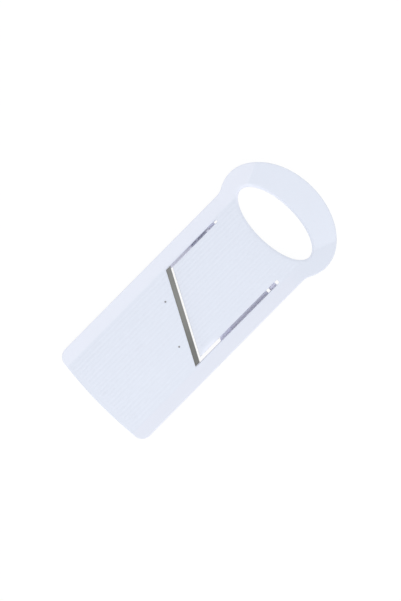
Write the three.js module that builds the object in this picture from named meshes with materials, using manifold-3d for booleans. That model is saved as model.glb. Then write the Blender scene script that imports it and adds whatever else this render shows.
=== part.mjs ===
// Flat vegetable slicer with a ring handle, a diagonal blade and an infeed deck set by a thumb screw.
// Millimetres. X runs across, +Y runs toward the handle, +Z is up, the runners stand on Z = 0.
import * as THREE from 'three';
import { mergeVertices } from 'three/addons/utils/BufferGeometryUtils.js';
import Module from 'manifold-3d';

const wasm = await Module();
wasm.setup();

// Board outline
const LENGTH = 320;
const BODY_WIDTH = 127.6;
const RING_OVERHANG = 7.4;
const RING_SEMI_Y = 50;
const RING_BAND = 20.5;
const GRIP_DEPTH = 32.8;
const HOLE_SEMI_Y = 21.6;
const NECK_RADIUS = 20;
const CORNER_RADIUS = 8.5;
const END_BOW_RADIUS = 520;

// Board section
const BED_TOP = 24;
const WALL = 2.8;
const RAIL_WIDTH = 14.8;
const RAIL_SLOPE_DEG = 15;
const GRIP_RUN = 47;
const GRIP_SLOPE_DEG = 6.5;
const EDGE_ROUND = 1.4;
const RIM_DEPTH = 3.4;
const RIM_WALL = 2.2;

// Slots and infeed deck
const SLOT_TO_RAIL = 1.5;
const SLOT_TO_HOLE = 19.5;
const SLOT_CORNER = 1.2;
const LEFT_SLOT = 3.1;
const RIGHT_SLOT = 4.3;
const HINGE_GAP = 0.3;
const REST_SLICE = 2;
const DECK_LIP = 0.9;
const DECK_LIP_BEVEL = 2.4;
const DECK_STIFFENER_SPACING = 60;
const DECK_STIFFENER_DEPTH = 2.4;
const DECK_STIFFENER_SETBACK = 5;
const DECK_CROSS_DEPTH = 1.6;
const DECK_BOSS_DIAMETER = 14;
const DECK_BOSS_DEPTH = 3.1;
const DECK_FLEX = 8;

// Fine ribs that the food slides on
const RIB_PITCH = 4.1;
const RIB_HEIGHT = 0.12;
const RIB_BASE = 3;
const RIB_CREST = 1;
const RIB_SINK = 0.4;
const RIB_LIP_GAP = 1.5;
const RIB_FOOT_INSET = 6;
const RIB_HOLE_INSET = 2.4;

// Blade, its seat and its clamp
const SKEW_DEG = 28.2;
const EDGE_Y = -29.3;
const EDGE_LIFT = 0.2;
const BLADE_PITCH_DEG = 10;
const BLADE_WIDTH = 26;
const BLADE_THICKNESS = 1;
const BLADE_BEVEL = 2.4;
const BLADE_TIP = 0.12;
const BLADE_SHOWN = 5.6;
const BLADE_END_INSET = 0.4;
const THROAT = 2;
const SEAT_BACK_WALL = 3;
const SEAT_WALL_DEPTH = 2.9;
const CLAMP_THICKNESS = 3.4;
const CLAMP_FRONT = 8;
const CLAMP_NOSE = 1;
const CLAMP_CHAMFER = 3;
const CLAMP_BACK_GAP = 1;
const CLAMP_END_GAP = 0.6;

// Rivets through the outfeed deck, the blade and the clamp
const RIVET_BACK = 16;
const RIVET_SPACING = 49.6;
const RIVET_SHIFT = 6.4;
const RIVET_DIAMETER = 2;
const RIVET_CHAMFER = 0.2;
const RIVET_LIFT = 0.1;
const RIVET_HEAD_DIAMETER = 4.6;
const RIVET_HEAD_HEIGHT = 1.3;
const RIVET_RECESS_DEPTH = 1.4;
const RIVET_RECESS_GAP = 0.6;
const RIVET_CLEAR_RING = 1.2;

// Runners and webs under the board
const RUNNER_LEAN = 1.2;
const RUNNER_WALL = 2.6;
const RUNNER_FRONT_INSET = 10;
const RUNNER_REAR_RUN = 11.5;
const RUNNER_NOSE_RUN = 7;
const RUNNER_NOSE_RISE = 8;
const RUNNER_STEP_INSET = 3;
const RUNNER_STEP_RUN = 1.5;
const WEB_SINK = 1;
const WEB_OVERLAP = 0.8;
const END_WEB_WALL = 2.4;
const FRONT_WEB_DEPTH = 12;
const REAR_WEB_DEPTH = 7;
const STIFFENER_WALL = 2;
const MIDDLE_WEB_INSET = 49;
const MIDDLE_WEB_DEPTH = 8;
const OUTFEED_STIFFENER_SPACING = 36;
const OUTFEED_STIFFENER_DEPTH = 6;

// Bridge plate with its bosses and screws
const BRIDGE_DROP = 11;
const BRIDGE_WALL = 2.4;
const BRIDGE_SIDE_GAP = 0.3;
const BRIDGE_REAR_INSET = 3.5;
const BRIDGE_SETBACK = 27.6;
const FLANGE_DEPTH = 2.6;
const FLANGE_WALL = 2;
const BRIDGE_RIB_INSET = 8;
const BRIDGE_BOSS_DIAMETER = 18;
const NOTCH_INSET = 10.4;
const NOTCH_WIDTH = 3.6;
const NOTCH_DEPTH = 4.2;
const BOSS_HEIGHT = 3.7;
const BOSS_LENGTH = 8;
const BOSS_INNER = 3;
const BOSS_WEB = 1.6;
const BOSS_ROOF = 0.7;
const SCREW_REAR_SIDE = 3.9;
const SCREW_FRONT_SIDE = 8;
const SCREW_REAR_INSET = 4;
const SCREW_FRONT_INSET = 12.5;
const SCREW_DIAMETER = 2.4;
const SCREW_POINT = 0.8;
const SCREW_TIP_GAP = 0.5;
const SCREW_HEAD_DIAMETER = 5;
const SCREW_HEAD_HEIGHT = 1.6;
const SCREW_HEAD_CHAMFER = 0.5;
const SCREW_HEAD_GAP = 0.6;
const SCREW_DRIVE_LENGTH = 3.4;
const SCREW_DRIVE_WIDTH = 0.7;
const SCREW_DRIVE_DEPTH = 0.7;

// Thickness adjuster
const ADJUSTER_Y = 24;
const SCREW_TRAVEL = 0.75;
const NUT_FLATS = 10;
const NUT_HEIGHT = 3.4;
const NUT_SINK = 0.1;
const STUD_DIAMETER = 6;
const STUD_CHAMFER = 0.4;
const THREAD_PITCH = 1.5;
const THREAD_DEPTH = 0.45;
const THREAD_ROOT_FLAT = 0.24;
const PIVOT_DIAMETER = 4;
const PIVOT_LENGTH = 1.6;
const PIVOT_CROWN = 0.3;
const KNOB_DIAMETER = 34;
const KNOB_TOP_GAP = 0.35;
const KNOB_GROUND_GAP = 1.2;
const KNOB_LOBE_DEPTH = 1.1;
const KNOB_LOWER_CHAMFER = 1.8;
const KNOB_UPPER_CHAMFER = 1.2;
const KNOB_FLOOR = 1.8;
const KNOB_HUB_DIAMETER = 12;
const KNOB_RIM = 3.8;
const KNOB_DISH_DEPTH = 1.6;
const KNOB_DISH_DRAFT = 1;
const PAD_DIAMETER = 10;
const PAD_HEIGHT = 2.9;
const PAD_CHAMFER = 0.8;
const PAD_CROWN = 0.9;

// Clearance between neighbours, and how far a cutter runs past what it cuts
const FIT_GAP = 0.3;
const OVERCUT = 20;
const ROUND_STEPS = 24;

// Places across the board
const HALF_BODY = BODY_WIDTH / 2;
const HALF_BED = HALF_BODY - RAIL_WIDTH;
const HALF_SLOT = HALF_BED - SLOT_TO_RAIL;
const DECK_LEFT = LEFT_SLOT - HALF_SLOT;
const DECK_RIGHT = HALF_SLOT - RIGHT_SLOT;
const RING_SEMI_X = HALF_BODY + RING_OVERHANG;
const HOLE_SEMI_X = RING_SEMI_X - RING_BAND;
const HALF_POCKET = HALF_SLOT - BLADE_END_INSET;
const HALF_BLADE = HALF_POCKET - FIT_GAP;
const HALF_FOOT = HALF_SLOT - RUNNER_LEAN;
const HALF_BRIDGE = HALF_SLOT - (RUNNER_LEAN * BRIDGE_DROP) / BED_TOP - BRIDGE_SIDE_GAP;
const SCREW_REAR_X = HALF_SLOT - SCREW_REAR_SIDE;
const SCREW_FRONT_X = HALF_SLOT - SCREW_FRONT_SIDE;

// Places along the board
const END_Y = LENGTH / 2;
const RING_Y = END_Y - RING_SEMI_Y;
const HOLE_Y = END_Y - GRIP_DEPTH - HOLE_SEMI_Y;
const GRIP_START_Y = END_Y - GRIP_RUN;
const SLOT_END_Y = HOLE_Y - HOLE_SEMI_Y - SLOT_TO_HOLE;
const RUNNER_FRONT_Y = RUNNER_FRONT_INSET - END_Y;
const RUNNER_REAR_Y = SLOT_END_Y + RUNNER_REAR_RUN;
const RUNNER_STEP_Y = SLOT_END_Y - RUNNER_STEP_INSET;
const BRIDGE_REAR_Y = SLOT_END_Y - BRIDGE_REAR_INSET;

// Slopes
const RAD = Math.PI / 180;
const RAIL_RISE = Math.tan(RAIL_SLOPE_DEG * RAD);
const GRIP_RISE = Math.tan(GRIP_SLOPE_DEG * RAD);
const SKEW_TAN = Math.tan(SKEW_DEG * RAD);
const SKEW_COS = Math.cos(SKEW_DEG * RAD);
const SKEW_SIN = Math.sin(SKEW_DEG * RAD);
const BLADE_FALL = Math.tan(BLADE_PITCH_DEG * RAD);
const REST_FALL = REST_SLICE / (SLOT_END_Y - EDGE_Y);

// Heights
const UNDER = -OVERCUT;
const ROOF = BED_TOP + 2 * OVERCUT;
const EDGE_Z = BED_TOP + EDGE_LIFT;
const HINGE_Z = BED_TOP - WALL / 2;
const DECK_UNDER = BED_TOP - WALL;
const BLADE_DROP = BLADE_THICKNESS / Math.cos(BLADE_PITCH_DEG * RAD);
const POCKET_BACK = BLADE_WIDTH + FIT_GAP;
const SEAT_FOOT = bladeTop(POCKET_BACK) - BLADE_DROP - SEAT_WALL_DEPTH;
const BRIDGE_TOP = BED_TOP - BRIDGE_DROP;
const BRIDGE_UNDER = BRIDGE_TOP - BRIDGE_WALL;
const FLANGE_FOOT = BRIDGE_UNDER - FLANGE_DEPTH;
const BOSS_TOP = BRIDGE_TOP + FIT_GAP + BOSS_HEIGHT;
const NUT_TOP = BRIDGE_TOP - NUT_SINK;
const PAD_TOP = DECK_UNDER - DECK_BOSS_DEPTH - REST_FALL * (SLOT_END_Y - ADJUSTER_Y) - FIT_GAP;
const PAD_BOTTOM = PAD_TOP - PAD_HEIGHT;
const KNOB_TOP = FLANGE_FOOT - SCREW_TRAVEL - KNOB_TOP_GAP;
const KNOB_BOTTOM = KNOB_GROUND_GAP;
const KNOB_BORE_FLOOR = KNOB_BOTTOM + KNOB_FLOOR;

const PLASTIC = new THREE.MeshStandardMaterial({ color: 0xe2e8f5, roughness: 0.45, metalness: 0 });
const STEEL = new THREE.MeshStandardMaterial({ color: 0x8d8f8c, roughness: 0.3, metalness: 1 });
const BRASS = new THREE.MeshStandardMaterial({ color: 0xc2a14e, roughness: 0.35, metalness: 1 });

// Solids from closed meshes and back

function toSolid(geometry) {
  const bare = new THREE.BufferGeometry();
  bare.setAttribute('position', geometry.attributes.position.clone());
  if (geometry.index) {
    bare.setIndex(geometry.index.clone());
  }
  const joined = mergeVertices(bare, 1e-4);
  const points = new Float32Array(joined.attributes.position.array);
  const corners = new Uint32Array(joined.index.array);
  let volume = 0;
  const a = new THREE.Vector3();
  const b = new THREE.Vector3();
  const c = new THREE.Vector3();
  for (let i = 0; i < corners.length; i += 3) {
    a.fromArray(points, corners[i] * 3);
    b.fromArray(points, corners[i + 1] * 3);
    c.fromArray(points, corners[i + 2] * 3);
    volume += a.dot(b.cross(c));
  }
  if (volume < 0) {
    for (let i = 0; i < corners.length; i += 3) {
      const kept = corners[i + 1];
      corners[i + 1] = corners[i + 2];
      corners[i + 2] = kept;
    }
  }
  return new wasm.Manifold(new wasm.Mesh({ numProp: 3, vertProperties: points, triVerts: corners }));
}

function toGeometry(solid) {
  const mesh = solid.getMesh();
  const count = mesh.vertProperties.length / mesh.numProp;
  const points = new Float32Array(count * 3);
  for (let i = 0; i < count; i += 1) {
    for (let k = 0; k < 3; k += 1) {
      points[i * 3 + k] = mesh.vertProperties[i * mesh.numProp + k];
    }
  }
  const geometry = new THREE.BufferGeometry();
  geometry.setAttribute('position', new THREE.BufferAttribute(points, 3));
  geometry.setIndex(new THREE.BufferAttribute(new Uint32Array(mesh.triVerts), 1));
  geometry.computeVertexNormals();
  return geometry;
}

// Prism of a flat profile. The profile lies on axes u and v, and is drawn out along u x v from the origin.
function prism(profile, depth, origin, u, v) {
  const shape = new THREE.Shape(profile.map((p) => new THREE.Vector2(p[0], p[1])));
  const geometry = new THREE.ExtrudeGeometry(shape, { depth, bevelEnabled: false, steps: 1 });
  const axisU = new THREE.Vector3(...u);
  const axisV = new THREE.Vector3(...v);
  const axisW = new THREE.Vector3().crossVectors(axisU, axisV);
  const matrix = new THREE.Matrix4().makeBasis(axisU, axisV, axisW);
  matrix.setPosition(...origin);
  geometry.applyMatrix4(matrix);
  return toSolid(geometry);
}

function upright(profile, z0, z1) {
  return prism(profile, z1 - z0, [0, 0, z0], [1, 0, 0], [0, 1, 0]);
}

function alongY(profile, y0, y1) {
  return prism(profile, y1 - y0, [0, y1, 0], [1, 0, 0], [0, 0, 1]);
}

function alongX(profile, x0, x1) {
  return prism(profile, x1 - x0, [x0, 0, 0], [0, 1, 0], [0, 0, 1]);
}

function box(x0, x1, y0, y1, z0, z1) {
  const geometry = new THREE.BoxGeometry(x1 - x0, y1 - y0, z1 - z0);
  geometry.translate((x0 + x1) / 2, (y0 + y1) / 2, (z0 + z1) / 2);
  return toSolid(geometry);
}

// Solid along the blade, cut off square to the board at halfX on both sides. The profile is given by the
// distance behind the cutting edge and by height.
function alongBlade(profile, halfX) {
  const reach = Math.max(...profile.map((p) => Math.abs(p[0])));
  const span = (2 * (halfX + reach * SKEW_SIN)) / SKEW_COS;
  const origin = [(SKEW_COS * span) / 2, EDGE_Y - (SKEW_SIN * span) / 2, 0];
  const bar = prism(profile, span, origin, [-SKEW_SIN, -SKEW_COS, 0], [0, 0, 1]);
  return bar.intersect(box(-halfX, halfX, -LENGTH, LENGTH, UNDER, ROOF));
}

// Solid of revolution about a vertical line. The profile gives radius and height and closes on itself.
function turned(profile, x, y, steps = ROUND_STEPS) {
  const closed = profile.concat([profile[0]]).map((p) => new THREE.Vector2(p[0], p[1]));
  const geometry = new THREE.LatheGeometry(closed, steps);
  geometry.rotateX(Math.PI / 2);
  geometry.translate(x, y, 0);
  return toSolid(geometry);
}

// Profile of a domed end, from its rim to the axis. A negative rise makes a dome that hangs down.
function dome(radius, rimZ, rise) {
  const steps = 4;
  const points = [];
  for (let i = 0; i <= steps; i += 1) {
    const a = ((Math.PI / 2) * i) / steps;
    points.push([i < steps ? radius * Math.cos(a) : 0, rimZ + rise * Math.sin(a)]);
  }
  return points;
}

function rod(x, y, radius, z0, z1, steps = ROUND_STEPS) {
  const geometry = new THREE.CylinderGeometry(radius, radius, z1 - z0, steps);
  geometry.rotateX(Math.PI / 2);
  geometry.translate(x, y, (z0 + z1) / 2);
  return toSolid(geometry);
}

function addAll(first, rest) {
  return rest.reduce((sum, solid) => sum.add(solid), first);
}

function cutAll(first, rest) {
  return rest.reduce((sum, solid) => sum.subtract(solid), first);
}

// Trough surface of the board: flat bed, rails that rise outward, grip that rises toward the end

function topAt(x, y) {
  const rail = (Math.abs(x) - HALF_BED) * RAIL_RISE;
  const grip = (y - GRIP_START_Y) * GRIP_RISE;
  return BED_TOP + Math.max(0, rail, grip);
}

function aboveTrough(shift) {
  const floor = BED_TOP + shift;
  const far = RING_SEMI_X + OVERCUT;
  const railEdge = floor + (far - HALF_BED) * RAIL_RISE;
  const across = [[-far, ROOF], [-far, railEdge], [-HALF_BED, floor]];
  across.push([HALF_BED, floor], [far, railEdge], [far, ROOF]);
  const reach = END_Y + OVERCUT;
  const gripEdge = floor + (reach - GRIP_START_Y) * GRIP_RISE;
  const lengthwise = [[-reach, floor], [GRIP_START_Y, floor], [reach, gripEdge]];
  lengthwise.push([reach, ROOF], [-reach, ROOF]);
  return alongY(across, -reach, reach).intersect(alongX(lengthwise, -far, far));
}

// Board outline, counter-clockwise from the middle of the outfeed end

function arc(cx, cy, radius, from, to, steps) {
  const points = [];
  for (let i = 0; i <= steps; i += 1) {
    const a = from + ((to - from) * i) / steps;
    points.push([cx + radius * Math.cos(a), cy + radius * Math.sin(a)]);
  }
  return points;
}

// Angle on the ring's ellipse at which the hollow of the neck touches it
function neckAngle() {
  let low = -Math.PI / 2;
  let high = 0;
  for (let i = 0; i < 60; i += 1) {
    const t = (low + high) / 2;
    const nx = Math.cos(t) / RING_SEMI_X;
    const ny = Math.sin(t) / RING_SEMI_Y;
    const scale = NECK_RADIUS / Math.hypot(nx, ny);
    const centre = RING_SEMI_X * Math.cos(t) + nx * scale;
    if (centre > HALF_BODY + NECK_RADIUS) {
      high = t;
    } else {
      low = t;
    }
  }
  return (low + high) / 2;
}

function boardOutline() {
  const bowY = -END_Y + END_BOW_RADIUS;
  const cornerX = HALF_BODY - CORNER_RADIUS;
  const cornerY = bowY - Math.sqrt((END_BOW_RADIUS - CORNER_RADIUS) ** 2 - cornerX ** 2);
  const lean = Math.atan2(cornerX, bowY - cornerY);
  const t = neckAngle();
  const nx = Math.cos(t) / RING_SEMI_X;
  const ny = Math.sin(t) / RING_SEMI_Y;
  const unit = Math.hypot(nx, ny);
  const neckY = RING_Y + RING_SEMI_Y * Math.sin(t) + (ny / unit) * NECK_RADIUS;
  const meet = Math.atan2(-ny, -nx);
  const right = arc(0, bowY, END_BOW_RADIUS, -Math.PI / 2, -Math.PI / 2 + lean, 6);
  right.push(...arc(cornerX, cornerY, CORNER_RADIUS, -Math.PI / 2 + lean, 0, 6).slice(1));
  right.push(...arc(HALF_BODY + NECK_RADIUS, neckY, NECK_RADIUS, Math.PI, meet, 5));
  const ringSteps = 24;
  for (let i = 1; i <= ringSteps; i += 1) {
    const a = t + ((Math.PI / 2 - t) * i) / ringSteps;
    right.push([RING_SEMI_X * Math.cos(a), RING_Y + RING_SEMI_Y * Math.sin(a)]);
  }
  const left = right.slice(1, -1).reverse().map((p) => [-p[0], p[1]]);
  return right.concat(left);
}

function holeOutline() {
  const points = [];
  const steps = 52;
  for (let i = 0; i < steps; i += 1) {
    const a = (2 * Math.PI * i) / steps;
    points.push([HOLE_SEMI_X * Math.cos(a), HOLE_Y + HOLE_SEMI_Y * Math.sin(a)]);
  }
  return points;
}

function holeLowerY(x) {
  const share = Math.max(0, 1 - (x / HOLE_SEMI_X) ** 2);
  return HOLE_Y - HOLE_SEMI_Y * Math.sqrt(share);
}

// Opening for the infeed deck, the slots and the throat
function openingOutline() {
  const near = HALF_SLOT - SLOT_CORNER;
  const high = SLOT_END_Y - SLOT_CORNER;
  const points = [-HALF_SLOT, HALF_SLOT].map((x) => [x, diagonalY(x, BLADE_SHOWN)]);
  points.push(...arc(near, high, SLOT_CORNER, 0, Math.PI / 2, 4));
  points.push(...arc(-near, high, SLOT_CORNER, Math.PI / 2, Math.PI, 4));
  return points;
}

function outwardNormals(outline) {
  const count = outline.length;
  return outline.map((p, i) => {
    const before = outline[(i + count - 1) % count];
    const after = outline[(i + 1) % count];
    const dx = after[0] - before[0];
    const dy = after[1] - before[1];
    const size = Math.hypot(dx, dy);
    return [dy / size, -dx / size];
  });
}

function grown(outline, distance) {
  const normals = outwardNormals(outline);
  return outline.map((p, i) => [p[0] + normals[i][0] * distance, p[1] + normals[i][1] * distance]);
}

// Cutter that rounds one edge of the board. side is 1 on the outer outline and -1 round the hole,
// up is 1 on the upper edge and -1 on the lower edge.
function edgeCutter(outline, side, up, shift) {
  const over = EDGE_ROUND / 2;
  const section = [[-EDGE_ROUND, over], [-EDGE_ROUND, 0]];
  const facets = 3;
  for (let i = 1; i <= facets; i += 1) {
    const a = (Math.PI / 2) * (i / facets);
    section.push([EDGE_ROUND * (Math.sin(a) - 1), EDGE_ROUND * (Math.cos(a) - 1)]);
  }
  section.push([over, -EDGE_ROUND], [over, over]);
  const normals = outwardNormals(outline);
  const points = [];
  outline.forEach((p, i) => {
    section.forEach(([out, rise]) => {
      const x = p[0] + normals[i][0] * out * side;
      const y = p[1] + normals[i][1] * out * side;
      points.push(x, y, topAt(x, y) + shift + rise * up);
    });
  });
  const corners = [];
  const ring = section.length;
  const count = outline.length;
  for (let i = 0; i < count; i += 1) {
    for (let k = 0; k < ring; k += 1) {
      const a = i * ring + k;
      const b = i * ring + ((k + 1) % ring);
      const c = ((i + 1) % count) * ring + ((k + 1) % ring);
      const d = ((i + 1) % count) * ring + k;
      corners.push(a, b, c, a, c, d);
    }
  }
  const geometry = new THREE.BufferGeometry();
  geometry.setAttribute('position', new THREE.Float32BufferAttribute(points, 3));
  geometry.setIndex(corners);
  return toSolid(geometry);
}

// Diagonal lines parallel to the cutting edge

function diagonalY(x, behind) {
  return EDGE_Y - SKEW_TAN * x - behind / SKEW_COS;
}

function bladeTop(behind) {
  return EDGE_Z - behind * BLADE_FALL;
}

function bladeUnder(behind) {
  return bladeTop(behind) - BLADE_DROP;
}

function bridgeFrontY(x) {
  return diagonalY(x, -BRIDGE_SETBACK);
}

function rivetSpots() {
  const middle = [-SKEW_SIN * RIVET_BACK, EDGE_Y - SKEW_COS * RIVET_BACK];
  return [-1, 1].map((side) => {
    const along = RIVET_SHIFT + (side * RIVET_SPACING) / 2;
    return [middle[0] + SKEW_COS * along, middle[1] - SKEW_SIN * along];
  });
}

function rivetHoles() {
  return rivetSpots().map(([x, y]) => rod(x, y, RIVET_DIAMETER / 2 + FIT_GAP, UNDER, ROOF));
}

function screwSpots() {
  const rearY = BRIDGE_REAR_Y - SCREW_REAR_INSET;
  const frontX = SCREW_FRONT_X;
  return {
    rear_left: [-SCREW_REAR_X, rearY],
    rear_right: [SCREW_REAR_X, rearY],
    front_left: [-frontX, bridgeFrontY(-frontX) + SCREW_FRONT_INSET],
    front_right: [frontX, bridgeFrontY(frontX) + SCREW_FRONT_INSET],
  };
}

// Fine ribs along the decks

function ribPlaces(left, right) {
  const first = Math.ceil((left + RIB_BASE / 2) / RIB_PITCH);
  const last = Math.floor((right - RIB_BASE / 2) / RIB_PITCH);
  const places = [];
  for (let k = first; k <= last; k += 1) {
    places.push(k * RIB_PITCH);
  }
  return places;
}

function rib(x, y0, y1) {
  const foot = BED_TOP - RIB_SINK;
  const crest = BED_TOP + RIB_HEIGHT;
  const wide = RIB_BASE / 2;
  const thin = RIB_CREST / 2;
  const profile = [[x - wide, foot], [x + wide, foot], [x + wide, BED_TOP], [x + thin, crest]];
  profile.push([x - thin, crest], [x - wide, BED_TOP]);
  return alongY(profile, y0, y1);
}

// Body moulding

function makeShell() {
  const outline = boardOutline();
  const hole = holeOutline();
  const rimShift = -WALL - RIM_DEPTH;
  const plate = upright(outline, UNDER, ROOF).intersect(aboveTrough(-WALL));
  const inner = upright(grown(outline, -RIM_WALL), UNDER - OVERCUT, ROOF + OVERCUT);
  const rimBand = upright(outline, UNDER, ROOF).subtract(inner);
  const holeBand = upright(grown(hole, RIM_WALL), UNDER, ROOF);
  const rims = rimBand.add(holeBand).intersect(aboveTrough(rimShift));
  const cutters = [aboveTrough(0), upright(hole, UNDER - OVERCUT, ROOF + OVERCUT)];
  cutters.push(edgeCutter(outline, 1, 1, 0), edgeCutter(hole, -1, 1, 0));
  cutters.push(edgeCutter(outline, 1, -1, rimShift), edgeCutter(hole, -1, -1, rimShift));
  const opening = upright(openingOutline(), DECK_UNDER - RIM_DEPTH, ROOF);
  return cutAll(plate.add(rims), cutters).subtract(opening);
}

// Runners, cross webs, stiffeners and the block that seats the blade. Behind the bridge plate the runners
// step up to a low tail, which leaves the slot ends open below.
function makeWebs() {
  const front = RUNNER_FRONT_Y;
  const rear = RUNNER_REAR_Y;
  const step = RUNNER_STEP_Y;
  const tail = BED_TOP - REAR_WEB_DEPTH;
  const sideView = [[front, ROOF], [front, RUNNER_NOSE_RISE], [front + RUNNER_NOSE_RUN, 0]];
  sideView.push([step - RUNNER_STEP_RUN, 0], [step, tail], [rear, tail], [rear, ROOF]);
  const sideCut = alongX(sideView, -HALF_BODY, HALF_BODY);
  const webs = [];
  [-1, 1].forEach((side) => {
    const outerFoot = HALF_FOOT + RUNNER_WALL;
    const section = [[side * HALF_SLOT, BED_TOP], [side * HALF_FOOT, 0], [side * outerFoot, 0]];
    section.push([side * (HALF_SLOT + RUNNER_WALL), BED_TOP]);
    webs.push(alongY(section, front, rear).intersect(sideCut));
  });
  const span = HALF_SLOT + WEB_OVERLAP;
  webs.push(box(-span, span, front, front + END_WEB_WALL, BED_TOP - FRONT_WEB_DEPTH, BED_TOP));
  webs.push(box(-span, span, rear - END_WEB_WALL, rear, tail, BED_TOP));
  const middle = MIDDLE_WEB_INSET - END_Y;
  const half = STIFFENER_WALL / 2;
  webs.push(box(-span, span, middle - half, middle + half, BED_TOP - MIDDLE_WEB_DEPTH, BED_TOP));
  const stiffenerFoot = BED_TOP - OUTFEED_STIFFENER_DEPTH;
  [-1, 1].forEach((side) => {
    const x = (side * OUTFEED_STIFFENER_SPACING) / 2;
    const end = diagonalY(x, POCKET_BACK + SEAT_BACK_WALL / 2);
    webs.push(box(x - half, x + half, front + END_WEB_WALL / 2, end, stiffenerFoot, BED_TOP));
  });
  const seatBack = POCKET_BACK + SEAT_BACK_WALL;
  const seat = [[BLADE_SHOWN, BED_TOP], [BLADE_SHOWN, SEAT_FOOT], [seatBack, SEAT_FOOT], [seatBack, BED_TOP]];
  webs.push(alongBlade(seat, span));
  return addAll(webs[0], webs.slice(1)).subtract(aboveTrough(-WEB_SINK));
}

// Hollow that takes the blade and its clamp from below
function bladePocket() {
  const front = -THROAT;
  const foot = SEAT_FOOT - OVERCUT;
  const profile = [[front, bladeTop(front) + FIT_GAP], [front, foot], [POCKET_BACK, foot]];
  profile.push([POCKET_BACK, bladeTop(POCKET_BACK) + FIT_GAP]);
  return alongBlade(profile, HALF_POCKET);
}

// Bosses for the bridge plate's screws, tied to the inner faces of the runners. The front ones stand under
// the deck on a web, and the rear ones fill the space up to the runner.
function addBosses(body) {
  const foot = BRIDGE_TOP + FIT_GAP;
  const half = BOSS_LENGTH / 2;
  const wall = HALF_SLOT + WEB_OVERLAP;
  let bossed = body;
  Object.entries(screwSpots()).forEach(([place, [x, y]]) => {
    const side = Math.sign(x);
    const outer = place.startsWith('front') ? x + side * BOSS_INNER : side * wall;
    const ends = [x - side * BOSS_INNER, outer];
    const tie = [x, side * wall];
    const boss = box(Math.min(...ends), Math.max(...ends), y - half, y + half, foot, BOSS_TOP);
    const web = box(Math.min(...tie), Math.max(...tie), y - BOSS_WEB / 2, y + BOSS_WEB / 2, foot, BOSS_TOP);
    const pilot = rod(x, y, SCREW_DIAMETER / 2 + FIT_GAP, UNDER, BOSS_TOP - BOSS_ROOF);
    bossed = bossed.add(boss).add(web).subtract(pilot);
  });
  return bossed;
}

// Ribs on the outfeed deck and on the bed between the slots and the hand hole
function bodyRibs() {
  const ribs = [];
  ribPlaces(-HALF_SLOT, HALF_SLOT).forEach((x) => {
    ribs.push(rib(x, RIB_FOOT_INSET - END_Y, diagonalY(x, BLADE_SHOWN + RIB_LIP_GAP)));
    ribs.push(rib(x, SLOT_END_Y, holeLowerY(x) - RIB_HOLE_INSET));
  });
  const clear = RIVET_DIAMETER / 2 + RIVET_CLEAR_RING;
  const rings = rivetSpots().map(([x, y]) => rod(x, y, clear, DECK_UNDER, ROOF));
  return cutAll(addAll(ribs[0], ribs.slice(1)), rings);
}

function makeBody() {
  const body = makeShell().add(makeWebs()).subtract(bladePocket());
  return addBosses(cutAll(body, rivetHoles())).add(bodyRibs());
}

// Infeed deck, drawn level and then tilted about the bending line between the slot ends

function makeDeck() {
  const root = SLOT_END_Y - HINGE_GAP;
  const sunk = HINGE_Z;
  const outline = [DECK_LEFT, DECK_RIGHT].map((x) => [x, diagonalY(x, -THROAT)]);
  outline.push([DECK_RIGHT, root], [DECK_LEFT, root]);
  const plate = upright(outline, DECK_UNDER, BED_TOP);

  // Bevel under the free edge, so that slices pass
  const lip = BED_TOP - DECK_LIP;
  const below = DECK_UNDER - DECK_LIP;
  const bevel = [[-THROAT - DECK_LIP_BEVEL, DECK_UNDER], [-THROAT - DECK_LIP_BEVEL, below]];
  bevel.push([0, below], [0, lip], [-THROAT, lip]);
  const bevelled = plate.subtract(alongBlade(bevel, HALF_SLOT));

  const added = [];
  const side = DECK_STIFFENER_SPACING / 2;
  const half = STIFFENER_WALL / 2;
  [-side, side].forEach((x) => {
    const front = diagonalY(x, -THROAT - DECK_STIFFENER_SETBACK);
    added.push(box(x - half, x + half, front, root - DECK_FLEX, DECK_UNDER - DECK_STIFFENER_DEPTH, sunk));
  });
  added.push(box(-side, side, ADJUSTER_Y - half, ADJUSTER_Y + half, DECK_UNDER - DECK_CROSS_DEPTH, sunk));
  added.push(rod(0, ADJUSTER_Y, DECK_BOSS_DIAMETER / 2, DECK_UNDER - DECK_BOSS_DEPTH, sunk));
  ribPlaces(DECK_LEFT, DECK_RIGHT).forEach((x) => {
    added.push(rib(x, diagonalY(x, -THROAT - RIB_LIP_GAP), root));
  });
  return addAll(bevelled, added);
}

// Blade, clamp and rivets

function makeBlade() {
  const w = BLADE_WIDTH;
  const profile = [[0, bladeTop(0)], [0, bladeTop(0) - BLADE_TIP], [BLADE_BEVEL, bladeUnder(BLADE_BEVEL)]];
  profile.push([w, bladeUnder(w)], [w, bladeTop(w)]);
  return cutAll(alongBlade(profile, HALF_BLADE), rivetHoles());
}

function clampTop(behind) {
  return bladeUnder(behind) - FIT_GAP;
}

function clampFoot(behind) {
  return clampTop(behind) - CLAMP_THICKNESS;
}

function makeClamp() {
  const front = CLAMP_FRONT;
  const full = CLAMP_FRONT + CLAMP_CHAMFER;
  const back = BLADE_WIDTH - CLAMP_BACK_GAP;
  const profile = [[front, clampTop(front)], [front, clampTop(front) - CLAMP_NOSE], [full, clampFoot(full)]];
  profile.push([back, clampFoot(back)], [back, clampTop(back)]);
  const bar = alongBlade(profile, HALF_BLADE - CLAMP_END_GAP);
  const recessTop = clampFoot(RIVET_BACK) + RIVET_RECESS_DEPTH;
  const recessRadius = RIVET_HEAD_DIAMETER / 2 + RIVET_RECESS_GAP;
  const recesses = rivetSpots().map(([x, y]) => rod(x, y, recessRadius, UNDER, recessTop));
  return cutAll(bar, rivetHoles().concat(recesses));
}

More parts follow.
